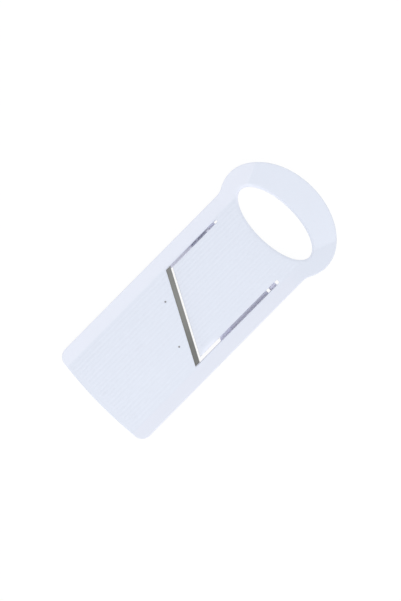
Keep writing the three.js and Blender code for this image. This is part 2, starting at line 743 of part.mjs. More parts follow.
function makeRivet([x, y]) {
  const r = RIVET_DIAMETER / 2;
  const seat = clampFoot(RIVET_BACK) + RIVET_RECESS_DEPTH - FIT_GAP;
  const top = BED_TOP + RIVET_LIFT;
  const head = dome(RIVET_HEAD_DIAMETER / 2, seat, -RIVET_HEAD_HEIGHT).reverse();
  const shank = [[r, seat], [r, top - RIVET_CHAMFER], [r - RIVET_CHAMFER, top], [0, top]];
  return turned(head.concat(shank), x, y);
}

// Bridge plate and its screws

// Space between the runners, less the gap that the bridge plate keeps to them
function betweenRunners(gap) {
  const section = [[gap - HALF_FOOT, 0], [HALF_FOOT - gap, 0], [HALF_SLOT - gap, BED_TOP]];
  section.push([gap - HALF_SLOT, BED_TOP]);
  return alongY(section, -END_Y, END_Y);
}

function makeBridge() {
  const h = HALF_BRIDGE;
  const rear = BRIDGE_REAR_Y;
  const corners = [-h, h].map((x) => [x, bridgeFrontY(x)]);
  const plate = upright(corners.concat([[h, rear], [-h, rear]]), BRIDGE_UNDER, BRIDGE_TOP);
  const lip = corners.concat([h, -h].map((x) => [x, bridgeFrontY(x) + FLANGE_WALL / SKEW_COS]));
  const half = FLANGE_WALL / 2;
  const across = h - BRIDGE_RIB_INSET;
  const added = [upright(lip, FLANGE_FOOT, BRIDGE_TOP)];
  added.push(box(-h, h, rear - FLANGE_WALL, rear, FLANGE_FOOT, BRIDGE_TOP));
  added.push(box(-across, across, ADJUSTER_Y - half, ADJUSTER_Y + half, FLANGE_FOOT, BRIDGE_TOP));
  added.push(rod(0, ADJUSTER_Y, BRIDGE_BOSS_DIAMETER / 2, FLANGE_FOOT, BRIDGE_TOP, 32));

  const cuts = [];
  const notchRear = rear - NOTCH_INSET + NOTCH_WIDTH / 2;
  const notchFront = notchRear - NOTCH_WIDTH;
  const notchX = h - NOTCH_DEPTH;
  cuts.push(box(-notchX - OVERCUT, -notchX, notchFront, notchRear, UNDER, ROOF));
  cuts.push(box(notchX, notchX + OVERCUT, notchFront, notchRear, UNDER, ROOF));
  Object.values(screwSpots()).forEach(([x, y]) => {
    cuts.push(rod(x, y, SCREW_HEAD_DIAMETER / 2 + SCREW_HEAD_GAP, UNDER, BRIDGE_UNDER));
    cuts.push(rod(x, y, SCREW_DIAMETER / 2 + FIT_GAP, UNDER, ROOF));
  });
  const hexRadius = (NUT_FLATS / 2 + FIT_GAP) / Math.cos(Math.PI / 6);
  cuts.push(rod(0, ADJUSTER_Y, hexRadius, NUT_TOP - NUT_HEIGHT - FIT_GAP, ROOF, 6));
  cuts.push(rod(0, ADJUSTER_Y, STUD_DIAMETER / 2 + FIT_GAP, UNDER, ROOF));
  return cutAll(addAll(plate, added).intersect(betweenRunners(BRIDGE_SIDE_GAP)), cuts);
}

function makeScrew([x, y]) {
  const r = SCREW_DIAMETER / 2;
  const head = SCREW_HEAD_DIAMETER / 2;
  const seat = BRIDGE_UNDER - FIT_GAP;
  const low = seat - SCREW_HEAD_HEIGHT;
  const tip = BOSS_TOP - BOSS_ROOF - SCREW_TIP_GAP;
  const profile = [[0, low], [head - SCREW_HEAD_CHAMFER, low], [head, low + SCREW_HEAD_CHAMFER]];
  profile.push([head, seat], [r, seat], [r, tip - SCREW_POINT], [r - SCREW_POINT, tip], [0, tip]);
  const long = SCREW_DRIVE_LENGTH / 2;
  const thin = SCREW_DRIVE_WIDTH / 2;
  const driveTop = low + SCREW_DRIVE_DEPTH;
  const slot = box(x - thin, x + thin, y - long, y + long, UNDER, driveTop);
  const cross = box(x - long, x + long, y - thin, y + thin, UNDER, driveTop);
  return turned(profile, x, y).subtract(slot.add(cross));
}

// Thickness adjuster: nut, stud, knob and thrust pad

function makeNut() {
  const hexRadius = NUT_FLATS / 2 / Math.cos(Math.PI / 6);
  const hex = rod(0, ADJUSTER_Y, hexRadius, NUT_TOP - NUT_HEIGHT, NUT_TOP, 6);
  return hex.subtract(rod(0, ADJUSTER_Y, STUD_DIAMETER / 2 + FIT_GAP, UNDER, ROOF));
}

function makeStud() {
  const crest = STUD_DIAMETER / 2;
  const root = crest - THREAD_DEPTH;
  const foot = KNOB_BORE_FLOOR + FIT_GAP;
  const shoulder = PAD_BOTTOM - FIT_GAP;
  const profile = [[0, foot], [crest - STUD_CHAMFER, foot], [crest, foot + STUD_CHAMFER]];
  let z = KNOB_TOP + STUD_CHAMFER;
  profile.push([crest, z]);
  while (z + THREAD_PITCH < shoulder) {
    const groove = z + THREAD_PITCH / 2;
    profile.push([root, groove - THREAD_ROOT_FLAT / 2], [root, groove + THREAD_ROOT_FLAT / 2]);
    z += THREAD_PITCH;
    profile.push([crest, z]);
  }
  const pivot = PIVOT_DIAMETER / 2;
  const pivotTop = PAD_BOTTOM + PIVOT_LENGTH;
  profile.push([crest, shoulder], [pivot, shoulder], [pivot, pivotTop - PIVOT_CROWN], [0, pivotTop]);
  return turned(profile, 0, ADJUSTER_Y);
}

function makeKnob() {
  const lobes = 14;
  const perLobe = 6;
  const steps = lobes * perLobe;
  const outer = KNOB_DIAMETER / 2;
  const scalloped = [];
  for (let i = 0; i < steps; i += 1) {
    const a = (2 * Math.PI * i) / steps;
    const r = outer - (KNOB_LOBE_DEPTH * (1 - Math.cos(lobes * a))) / 2;
    scalloped.push([r * Math.cos(a), ADJUSTER_Y + r * Math.sin(a)]);
  }
  const low = KNOB_BOTTOM;
  const high = KNOB_TOP;
  const past = outer + FIT_GAP;
  const chamfered = [[0, low], [outer - KNOB_LOWER_CHAMFER, low], [past, low + KNOB_LOWER_CHAMFER]];
  chamfered.push([past, high - KNOB_UPPER_CHAMFER], [outer - KNOB_UPPER_CHAMFER, high], [0, high]);
  const disc = upright(scalloped, UNDER, ROOF).intersect(turned(chamfered, 0, ADJUSTER_Y, steps / 2));
  const hub = KNOB_HUB_DIAMETER / 2;
  const rim = outer - KNOB_RIM;
  const deep = low + KNOB_DISH_DEPTH;
  const dish = [[hub, UNDER], [rim, UNDER], [rim, low], [rim - KNOB_DISH_DRAFT, deep]];
  dish.push([hub + KNOB_DISH_DRAFT, deep], [hub, low]);
  const bore = rod(0, ADJUSTER_Y, STUD_DIAMETER / 2 + FIT_GAP, KNOB_BORE_FLOOR, ROOF);
  return cutAll(disc, [turned(dish, 0, ADJUSTER_Y, steps / 2), bore]);
}

function makePad() {
  const hole = PIVOT_DIAMETER / 2 + FIT_GAP;
  const holeTop = PAD_BOTTOM + PIVOT_LENGTH + FIT_GAP;
  const outer = PAD_DIAMETER / 2;
  const profile = [[0, holeTop], [hole, holeTop - PIVOT_CROWN], [hole, PAD_BOTTOM]];
  profile.push([outer - PAD_CHAMFER, PAD_BOTTOM], [outer, PAD_BOTTOM + PAD_CHAMFER]);
  return turned(profile.concat(dome(outer, PAD_TOP - PAD_CROWN, PAD_CROWN)), 0, ADJUSTER_Y);
}

const slicer = new THREE.Group();
slicer.name = 'vegetable_slicer';

function addPiece(name, solid, material) {
  const mesh = new THREE.Mesh(toGeometry(solid), material);
  mesh.name = name;
  slicer.add(mesh);
  return mesh;
}

addPiece('body_shell', makeBody(), PLASTIC);

const deckMesh = addPiece('infeed_deck', makeDeck(), PLASTIC);
deckMesh.geometry.translate(0, -SLOT_END_Y, -HINGE_Z);
deckMesh.position.set(0, SLOT_END_Y, HINGE_Z);
deckMesh.rotation.x = Math.atan(REST_FALL);

addPiece('slicing_blade', makeBlade(), STEEL);
addPiece('blade_clamp', makeClamp(), PLASTIC);
const [leftRivet, rightRivet] = rivetSpots();
addPiece('blade_rivet_left', makeRivet(leftRivet), STEEL);
addPiece('blade_rivet_right', makeRivet(rightRivet), STEEL);
addPiece('bridge_plate', makeBridge(), PLASTIC);
Object.entries(screwSpots()).forEach(([place, spot]) => {
  addPiece(`bridge_screw_${place}`, makeScrew(spot), STEEL);
});
addPiece('adjuster_nut', makeNut(), BRASS);
addPiece('adjuster_stud', makeStud(), STEEL);
addPiece('adjuster_knob', makeKnob(), PLASTIC);
addPiece('thrust_pad', makePad(), BRASS);

export default slicer;
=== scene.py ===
"""Visible pieces, finishes and stage of a flat vegetable slicer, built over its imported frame."""

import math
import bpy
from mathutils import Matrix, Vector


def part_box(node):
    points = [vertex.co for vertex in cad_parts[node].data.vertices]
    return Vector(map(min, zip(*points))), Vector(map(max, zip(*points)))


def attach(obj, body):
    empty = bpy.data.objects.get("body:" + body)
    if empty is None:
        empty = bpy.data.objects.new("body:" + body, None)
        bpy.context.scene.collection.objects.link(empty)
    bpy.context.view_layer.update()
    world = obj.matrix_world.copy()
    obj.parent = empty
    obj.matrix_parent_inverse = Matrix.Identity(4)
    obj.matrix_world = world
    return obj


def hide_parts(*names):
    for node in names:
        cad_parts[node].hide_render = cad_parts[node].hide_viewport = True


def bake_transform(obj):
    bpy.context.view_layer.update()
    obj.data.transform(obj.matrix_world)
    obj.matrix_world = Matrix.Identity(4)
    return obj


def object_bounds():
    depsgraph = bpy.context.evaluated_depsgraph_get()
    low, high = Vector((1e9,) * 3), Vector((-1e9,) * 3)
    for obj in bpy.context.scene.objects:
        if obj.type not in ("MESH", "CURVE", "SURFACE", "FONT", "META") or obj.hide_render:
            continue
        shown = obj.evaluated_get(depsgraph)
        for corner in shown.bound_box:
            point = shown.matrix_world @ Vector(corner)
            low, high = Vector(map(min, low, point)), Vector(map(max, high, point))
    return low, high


bl_info = {
    "name": "Vegetable Slicer Looks",
    "version": (1, 0, 0),
    "blender": (4, 5, 0),
    "location": "3D View > Sidebar > Slicer",
    "description": "Builds the moulded board, the infeed deck, the finishes and the stage",
    "category": "Add Mesh",
}

import bmesh
import bpy
from bpy.props import FloatProperty, FloatVectorProperty, PointerProperty
from mathutils import Matrix, Vector
from mathutils.geometry import delaunay_2d_cdt

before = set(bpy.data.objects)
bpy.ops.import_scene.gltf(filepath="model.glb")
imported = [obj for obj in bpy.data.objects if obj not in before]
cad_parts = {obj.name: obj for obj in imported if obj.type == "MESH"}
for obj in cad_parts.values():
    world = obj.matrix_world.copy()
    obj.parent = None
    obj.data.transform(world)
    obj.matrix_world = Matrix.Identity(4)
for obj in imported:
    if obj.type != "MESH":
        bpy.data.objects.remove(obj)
CAD_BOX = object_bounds()
IMAGE_WIDTH = 401
IMAGE_HEIGHT = 601
MM = 0.001

# Distances within which points count as one place, in metres
TOUCH = 1e-6
MERGE = 1e-7

# Edges sharper than the first angle stay crisp, and sharper than the second are eased
SHARP_FROM = math.radians(38)
EASED_FROM = math.radians(25)
EASE = 0.3 * MM
EASE_SEGMENTS = 2

# Depth below the bed at which webs and the blade's seat end inside the wall
INTO_WALL = 1 * MM

RIVETS = ("blade_rivet_left", "blade_rivet_right")
WHITE = (1, 1, 1, 1)


def length(name, description, millimetres):
    return FloatProperty(
        name=name, description=description, default=millimetres * MM, unit="LENGTH", precision=5
    )


def angle(name, description, degrees):
    return FloatProperty(
        name=name, description=description, default=math.radians(degrees), subtype="ANGLE"
    )


def colour(name, description, red, green, blue):
    return FloatVectorProperty(
        name=name, description=description, default=(red, green, blue), subtype="COLOR", min=0, max=1
    )


def amount(name, description, default):
    return FloatProperty(name=name, description=description, default=default)


class BoardSizes(bpy.types.PropertyGroup):
    """Sizes of the moulded board and of the deck that is cut free in it."""

    body_width: length("Body width", "Across the two side rails", 127.6)
    ring_semi_x: length("Ring half width", "Half the ring handle's width", 71.2)
    ring_semi_y: length("Ring half length", "Half the ring ellipse along the board", 50)
    hole_semi_x: length("Hole half width", "Half the hand hole's width", 50.7)
    hole_semi_y: length("Hole half length", "Half the hand hole along the board", 21.6)
    hole_y: length("Hole centre", "Middle of the hand hole along the board", 105.6)
    neck_radius: length("Neck radius", "Hollow between rail and ring", 20)
    corner_radius: length("Corner radius", "Corners of the outfeed end", 12)
    end_bow: length("End bow", "Radius of the bowed outfeed end", 480)
    end_turn: angle("End turn", "Turn of the outfeed end from square", 0.7)
    bed_height: length("Bed height", "Flat bed above the runners' feet", 24)
    wall: length("Wall", "Thickness of the moulding", 2.8)
    bed_width: length("Bed width", "Flat bed between the rails", 98)
    rail_slope: angle("Rail slope", "Rise of the rails outward", 15)
    grip_start: length("Grip start", "Where the grip begins to rise", 113)
    grip_slope: angle("Grip slope", "Rise of the grip toward the end", 6.5)
    crease_soft: length("Crease softness", "Height over which creases are rounded", 0.3)
    edge_round: length("Edge round", "Radius of the board's upper edges", 1.4)
    hole_round: length("Hole round", "Radius of the hand hole's upper edge", 3.2)
    rim_round: length("Rim round", "Radius of the rim's lower edges", 1.0)
    rim_depth: length("Rim depth", "Depth of the rim below the wall", 3.4)
    rim_wall: length("Rim wall", "Thickness of the rim", 2.2)
    slot_outer: length("Slot span", "Between the outer walls of the slots", 95)
    slot_end: length("Slot end", "Handle end of the slots", 64.5)
    slot_round: length("Slot round", "Radius of the slots' upper edges", 0.6)
    deck_width: length("Deck width", "Width of the infeed deck", 87.6)
    deck_shift: length("Deck shift", "Deck's middle from the board's middle", -0.6)
    flex: length("Flex length", "Stretch over which the deck bends at its root", 16)
    slice: length("Slice", "Drop of the deck at the cutting edge at rest", 2)
    rib_pitch: length("Rib pitch", "Between the crests of the deck ribs", 4.1)
    rib_height: length("Rib height", "Crest of a rib above the deck", 0.2)
    rib_base: length("Rib base", "Width of a rib at its foot", 4.0)


class BladeSizes(bpy.types.PropertyGroup):
    """Sizes of the blade, its seat and the throat."""

    skew: angle("Skew", "Turn of the cutting edge from straight across", 28.2)
    edge_y: length("Edge place", "Cutting edge along the board, on its middle line", -29.3)
    edge_lift: length("Edge lift", "Cutting edge above the bed", 0.2)
    pitch: angle("Blade pitch", "Fall of the blade away from its edge", 10)
    width: length("Blade width", "From the cutting edge to the back", 26)
    shown: length("Blade shown", "Stretch of blade in front of the outfeed lip", 5.6)
    throat: length("Throat", "Gap between the cutting edge and the deck", 2)
    gap: length("Fit gap", "Clearance round the blade", 0.3)
    seat_wall: length("Seat wall", "Wall behind the blade", 3)
    rivet_hole: length("Rivet hole", "Radius of the holes round the rivets", 1.05)


class FinishColours(bpy.types.PropertyGroup):
    """Colours of the plastics and metals."""

    board: colour("Board", "Cool white moulding", 0.74, 0.785, 0.885)
    # Painted light: lighter colour for the rails and the ring's left side, standing for the light that
    # their sloping faces catch
    rail: colour("Rails", "Moulding on the polished rails", 0.766, 0.8, 0.897)
    # Painted light: lighter, bluer colour for the slots' walls below the bed, lifting them where they lie
    # dim in the slots
    inner: colour("Inner walls", "Moulding below the bed", 0.8, 0.8, 0.93)
    under: colour("Underside", "White mouldings under the board", 0.84, 0.845, 0.97)
    blade: colour("Blade", "Ground stainless strip", 0.21, 0.213, 0.205)
    fastener: colour("Fasteners", "Plain stainless", 0.34, 0.34, 0.36)
    rivet: colour("Rivets", "Steel dulled by washing", 0.25, 0.25, 0.265)
    brass: colour("Brass", "Machined brass", 0.62, 0.44, 0.16)
    floor: colour("Floor", "Pale table", 0.9, 0.9, 0.9)


class StageSettings(bpy.types.PropertyGroup):
    """Camera and lamps."""

    mm_per_pixel: length("Picture scale", "Length on the bed that one pixel shows", 1.0541)
    distance: length("Camera distance", "From the bed to the lens", 1500)
    aim_x: length("Aim across", "Point on the bed at the picture's middle", 1.6)
    aim_y: length("Aim along", "Point on the bed at the picture's middle", -7.65)
    turn: angle("Turn", "Turn of the board in the picture", 44.73)
    lean_x: angle("Lean across", "Lean of the camera across the board", 3.0)
    lean_y: angle("Lean along", "Lean of the camera along the board", 0.0)
    roof: amount("Tent roof", "Level of the light from above", 0.6)
    wall: amount("Tent wall", "Level of the light from the sides", 1.35)
    wall_side: amount("Tent side", "Extra share of side light from the left", 0.15)
    wall_tint: colour("Tent tint", "Colour of the light from the sides", 1.0, 0.985, 0.99)
    table: amount("Table glow", "Share of the table's light that comes through it from below", 0.5)
    key: amount("Key lamp", "Power of the soft key lamp", 19.6)


# Outlines and surfaces of the board


def board_sizes():
    return bpy.context.scene.slicer_board


def blade_sizes():
    return bpy.context.scene.slicer_blade


def soft_max(a, b, soft):
    near = max(soft - abs(a - b), 0) / soft
    return max(a, b) + near * near * soft / 4


def board_top(x, y):
    """Height of the trough: flat bed, rails that rise outward and a grip that rises to the end."""
    b = board_sizes()
    rail = (abs(x) - b.bed_width / 2) * math.tan(b.rail_slope)
    grip = (y - b.grip_start) * math.tan(b.grip_slope)
    return b.bed_height + soft_max(0, soft_max(rail, grip, b.crease_soft), b.crease_soft)


def below_top(drop):
    """Height function of a face that lies a fixed drop below the top."""
    return lambda x, y: board_top(x, y) - drop


def behind_edge(x, y):
    """Distance of a point behind the cutting edge."""
    k = blade_sizes()
    return -(x * math.sin(k.skew) + (y - k.edge_y) * math.cos(k.skew))


def diagonal_y(x, behind):
    """Place along the board of a line parallel to the cutting edge."""
    k = blade_sizes()
    return k.edge_y - math.tan(k.skew) * x - behind / math.cos(k.skew)


def blade_top(behind):
    k = blade_sizes()
    return board_sizes().bed_height + k.edge_lift - behind * math.tan(k.pitch)


def board_under(x, y):
    """Height of the wall's underside, hollowed where the blade passes under the outfeed lip."""
    b = board_sizes()
    k = blade_sizes()
    plain = board_top(x, y) - b.wall
    behind = behind_edge(x, y)
    if abs(x) > b.slot_outer / 2 + TOUCH or behind < k.shown - TOUCH:
        return plain
    return max(plain, blade_top(behind) + k.gap)


def arc(cx, cy, radius, start, stop, steps):
    points = []
    for i in range(steps + 1):
        a = start + (stop - start) * i / steps
        points.append((cx + radius * math.cos(a), cy + radius * math.sin(a)))
    return points


def ellipse(cx, cy, semi_x, semi_y, steps):
    turns = [2 * math.pi * i / steps for i in range(steps)]
    return [(cx + semi_x * math.cos(a), cy + semi_y * math.sin(a)) for a in turns]


def neck_angle():
    """Ellipse angle at which the neck's hollow touches the ring, found by halving."""
    b = board_sizes()
    halvings = 60
    low = -math.pi / 2
    high = 0.0
    for _ in range(halvings):
        t = (low + high) / 2
        nx = math.cos(t) / b.ring_semi_x
        ny = math.sin(t) / b.ring_semi_y
        centre = b.ring_semi_x * math.cos(t) + nx * b.neck_radius / math.hypot(nx, ny)
        if centre > b.body_width / 2 + b.neck_radius:
            high = t
        else:
            low = t
    return (low + high) / 2


def board_outline():
    """Outer contour of the board, counter-clockwise from the middle of the outfeed end."""
    b = board_sizes()
    bow_steps = 14
    turn_steps = 12
    ring_steps = 72
    half = b.body_width / 2
    ring_y = CAD_BOX[1].y - b.ring_semi_y
    bow_y = CAD_BOX[0].y + b.end_bow
    corner_x = half - b.corner_radius
    corner_y = bow_y - math.sqrt((b.end_bow - b.corner_radius) ** 2 - corner_x**2)
    lean = math.atan2(corner_x, bow_y - corner_y)
    t = neck_angle()
    nx = math.cos(t) / b.ring_semi_x
    ny = math.sin(t) / b.ring_semi_y
    neck_y = ring_y + b.ring_semi_y * math.sin(t) + ny / math.hypot(nx, ny) * b.neck_radius
    meet = math.atan2(-ny, -nx)
    down = -math.pi / 2
    right = arc(0, bow_y, b.end_bow, down, down + lean, bow_steps)
    right += arc(corner_x, corner_y, b.corner_radius, down + lean, 0, turn_steps)[1:]
    right += arc(half + b.neck_radius, neck_y, b.neck_radius, math.pi, meet, turn_steps)
    for i in range(1, ring_steps + 1):
        a = t + (math.pi / 2 - t) * i / ring_steps
        right.append((b.ring_semi_x * math.cos(a), ring_y + b.ring_semi_y * math.sin(a)))
    left = [(-x, y) for x, y in reversed(right[1:-1])]
    turn = math.tan(b.end_turn)
    return [(x, y - x * turn if y <= corner_y else y) for x, y in right + left]


def hole_outline():
    b = board_sizes()
    steps = 128
    return ellipse(0, b.hole_y, b.hole_semi_x, b.hole_semi_y, steps)


def node_middle(node):
    """Middle of a CAD piece, across and along the board."""
    low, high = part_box(node)
    return (low.x + high.x) / 2, (low.y + high.y) / 2


def deck_sides():
    b = board_sizes()
    return b.deck_shift - b.deck_width / 2, b.deck_shift + b.deck_width / 2


def opening_outline():
    """Contour of the slots, the throat and the deck's root, with the edge radius at each point."""
    b = board_sizes()
    k = blade_sizes()
    far = b.slot_outer / 2
    left, right = deck_sides()
    edge = b.slot_round
    turn = 1.2 * MM
    turn_steps = 6
    run_out = 1.0 * MM
    points = [(x, diagonal_y(x, k.shown), edge / 2) for x in (-far, far)]
    points.append((far, diagonal_y(far, k.shown) + run_out, edge))
    for x, y in arc(far - turn, b.slot_end - turn, turn, 0, math.pi / 2, turn_steps):
        points.append((x, y, edge))
    points.append((right + run_out, b.slot_end, edge))
    points += [(x, b.slot_end, 0) for x in (right, left)]
    points.append((left - run_out, b.slot_end, edge))
    for x, y in arc(turn - far, b.slot_end - turn, turn, math.pi / 2, math.pi, turn_steps):
        points.append((x, y, edge))
    points.append((-far, diagonal_y(-far, k.shown) + run_out, edge))
    return points


def mitre_normals(points):
    """Outward offsets of a counter-clockwise contour, which keep every edge at the same distance."""
    count = len(points)
    sides = []
    for i in range(count):
        dx = points[(i + 1) % count][0] - points[i][0]
        dy = points[(i + 1) % count][1] - points[i][1]
        size = math.hypot(dx, dy)
        sides.append((dy / size, -dx / size))
    normals = []
    for i in range(count):
        ax, ay = sides[i - 1]
        bx, by = sides[i]
        share = 1 + ax * bx + ay * by
        normals.append(((ax + bx) / share, (ay + by) / share))
    return normals


def offset(points, distance):
    pairs = zip(points, mitre_normals(points))
    return [(x + nx * distance, y + ny * distance) for (x, y), (nx, ny) in pairs]


# Mesh building


def add_object(name, data):
    made = bpy.data.objects.new(name, data)
    bpy.context.scene.collection.objects.link(made)
    return made


def add_ring(bm, points):
    return [bm.verts.new(p) for p in points]


def bridge_rings(bm, rings):
    """Faces between each ring and the next."""
    for first, second in zip(rings, rings[1:]):
        for i in range(len(first)):
            j = (i + 1) % len(first)
            bm.faces.new((first[i], first[j], second[j], second[i]))


def rounded(radius, steps):
    """Inset and drop along a quarter round, from the flat face to the side."""
    turns = [math.pi / 2 * i / steps for i in range(steps + 1)]
    return [(radius * (1 - math.sin(a)), radius * (1 - math.cos(a))) for a in turns]


def edge_rings(bm, points, side, top):
    """Rings over a quarter round whose radius each point gives, outward for a side of 1, inward for -1."""
    steps = 4
    normals = mitre_normals(points)
    rings = []
    for inset, drop in rounded(1, steps):
        ring = []
        for (x, y, radius), (nx, ny) in zip(points, normals):
            px = x + nx * side * radius * inset
            py = y + ny * side * radius * inset
            ring.append((px, py, top(px, py) - radius * drop))
        rings.append(add_ring(bm, ring))
    return rings


def inside(point, contour):
    x, y = point
    found = False
    for i in range(len(contour)):
        ax, ay = contour[i - 1]
        bx, by = contour[i]
        if (ay > y) != (by > y) and x < (bx - ax) * (y - ay) / (by - ay) + ax:
            found = not found
    return found


def fill_face(bm, outer, holes, lines, height):
    """Triangles between an outer ring and the rings in it, with edges along the given lines."""
    rings = [outer] + holes
    verts = [v for ring in rings for v in ring]
    flat = [Vector((v.co.x / MM, v.co.y / MM)) for v in verts]
    edges = []
    start = 0
    for ring in rings:
        count = len(ring)
        edges += [(start + i, start + (i + 1) % count) for i in range(count)]
        start += count
    for line in lines:
        first = len(flat)
        flat += [Vector((x / MM, y / MM)) for x, y in line]
        edges += [(first + i, first + i + 1) for i in range(len(line) - 1)]
    found, _, faces, origins, _, _ = delaunay_2d_cdt(flat, edges, [], 0, TOUCH)
    contours = [[(v.co.x / MM, v.co.y / MM) for v in ring] for ring in rings]
    made = []
    for place, sources in zip(found, origins):
        own = [i for i in sources if i < len(verts)]
        made.append(verts[own[0]] if own else place)
    for face in faces:
        middle = sum((found[i] for i in face), Vector((0, 0))) / len(face)
        if not inside(middle, contours[0]) or any(inside(middle, c) for c in contours[1:]):
            continue
        for i in face:
            if isinstance(made[i], Vector):
                x = made[i].x * MM
                y = made[i].y * MM
                made[i] = bm.verts.new((x, y, height(x, y)))
        bm.faces.new([made[i] for i in face])


def trimmed(lines, keep):
    """Stretches of straight lines whose points pass a test."""
    steps = 120
    kept = []
    for (ax, ay), (bx, by) in lines:
        run = []
        for i in range(steps + 2):
            spot = (ax + (bx - ax) * i / steps, ay + (by - ay) * i / steps)
            if i <= steps and keep(spot):
                run.append(spot)
                continue
            if len(run) > 1:
                kept.append([run[0], run[-1]])
            run = []
    return kept


def loft_solid(bm, sections, ease=0.0):
    """Closed solid through sections of equal count. Its sharp edges are eased where ease is given."""
    rings = [add_ring(bm, points) for points in sections]
    bridge_rings(bm, rings)
    bm.faces.new(rings[0])
    bm.faces.new(list(reversed(rings[-1])))
    if ease:
        edges = dict.fromkeys(e for ring in rings for v in ring for e in v.link_edges)
        sharp = [e for e in edges if e.calc_face_angle(0) > EASED_FROM]
        bmesh.ops.bevel(
            bm, geom=sharp, offset=ease, segments=EASE_SEGMENTS, profile=0.5, affect="EDGES"
        )


def box_solid(bm, low, high):
    """Block between two corners, with eased edges."""
    corners = [(low[0], low[1]), (high[0], low[1]), (high[0], high[1]), (low[0], high[1])]
    loft_solid(bm, [[(x, y, z) for x, y in corners] for z in (low[2], high[2])], EASE)


def add_rib(bm, x, y_low, y_high, stations, fades):
    """One rounded rib along the board. fades tells which of its ends runs out to nothing."""
    b = board_sizes()
    fade = 3 * MM
    fade_shares = (0.15, 0.4, 1)
    sink = 0.1 * MM
    skin = 0.01 * MM
    points = 8
    ys = {y_low, y_high}
    for share in fade_shares:
        if fades[0]:
            ys.add(y_low + fade * share)
        if fades[1]:
            ys.add(y_high - fade * share)
    ys.update(y for y in stations if y_low + fade < y < y_high - fade * fades[1])
    sections = []
    for y in sorted(ys):
        end = 1.0
        if fades[0]:
            end = min(end, (y - y_low) / fade)
        if fades[1]:
            end = min(end, (y_high - y) / fade)
        lift = b.rib_height * end * (2 - end)
        section = []
        for i in range(points + 1):
            t = 2 * i / points - 1
            bump = math.cos(math.pi / 2 * t) ** 2
            section.append((x + t * b.rib_base / 2, y, b.bed_height - skin + lift * bump))
        for side in (1, -1):
            section.append((x + side * b.rib_base / 2, y, b.bed_height - sink))
        sections.append(section)
    loft_solid(bm, sections)


def make_piece(bm, name, finish):
    """Object from a finished mesh, smooth except along its sharp edges."""
    bmesh.ops.remove_doubles(bm, verts=bm.verts, dist=MERGE)
    bmesh.ops.recalc_face_normals(bm, faces=bm.faces)
    for face in bm.faces:
        face.smooth = True
    for edge in bm.edges:
        if edge.is_manifold and edge.calc_face_angle(0) > SHARP_FROM:
            edge.smooth = False
    mesh = bpy.data.meshes.new(name)
    bm.to_mesh(mesh)
    bm.free()
    mesh.materials.append(finish)
    piece = add_object(name, mesh)
    weight_normals(piece)
    return piece


def weight_normals(piece):
    modifier = piece.modifiers.new("Flat faces stay flat", "WEIGHTED_NORMAL")
    modifier.mode = "FACE_AREA"
    modifier.weight = 50
    modifier.keep_sharp = True


# Finishes


class Wire:
    """One shader value. Arithmetic on it adds Math nodes."""

    def __init__(self, finish, socket):
        self.finish = finish
        self.socket = socket

    def math(self, operation, first, second):
        return self.finish.wire("ShaderNodeMath", {"operation": operation}, {0: first, 1: second})

    def __add__(self, other):
        return self.math("ADD", self, other)

    __radd__ = __add__

    def __sub__(self, other):
        return self.math("SUBTRACT", self, other)

    def __rsub__(self, other):
        return self.math("SUBTRACT", other, self)

    def __mul__(self, other):
        return self.math("MULTIPLY", self, other)

    __rmul__ = __mul__

    def __pow__(self, other):
        return self.math("POWER", self, other)

    def __abs__(self):
        return self.math("ABSOLUTE", self, 0.0)

    def above(self, other):
        return self.math("MAXIMUM", self, other)

    def swing(self, spread):
        """A mask round one half, turned into a value round zero."""
        return (self - 0.5) * spread


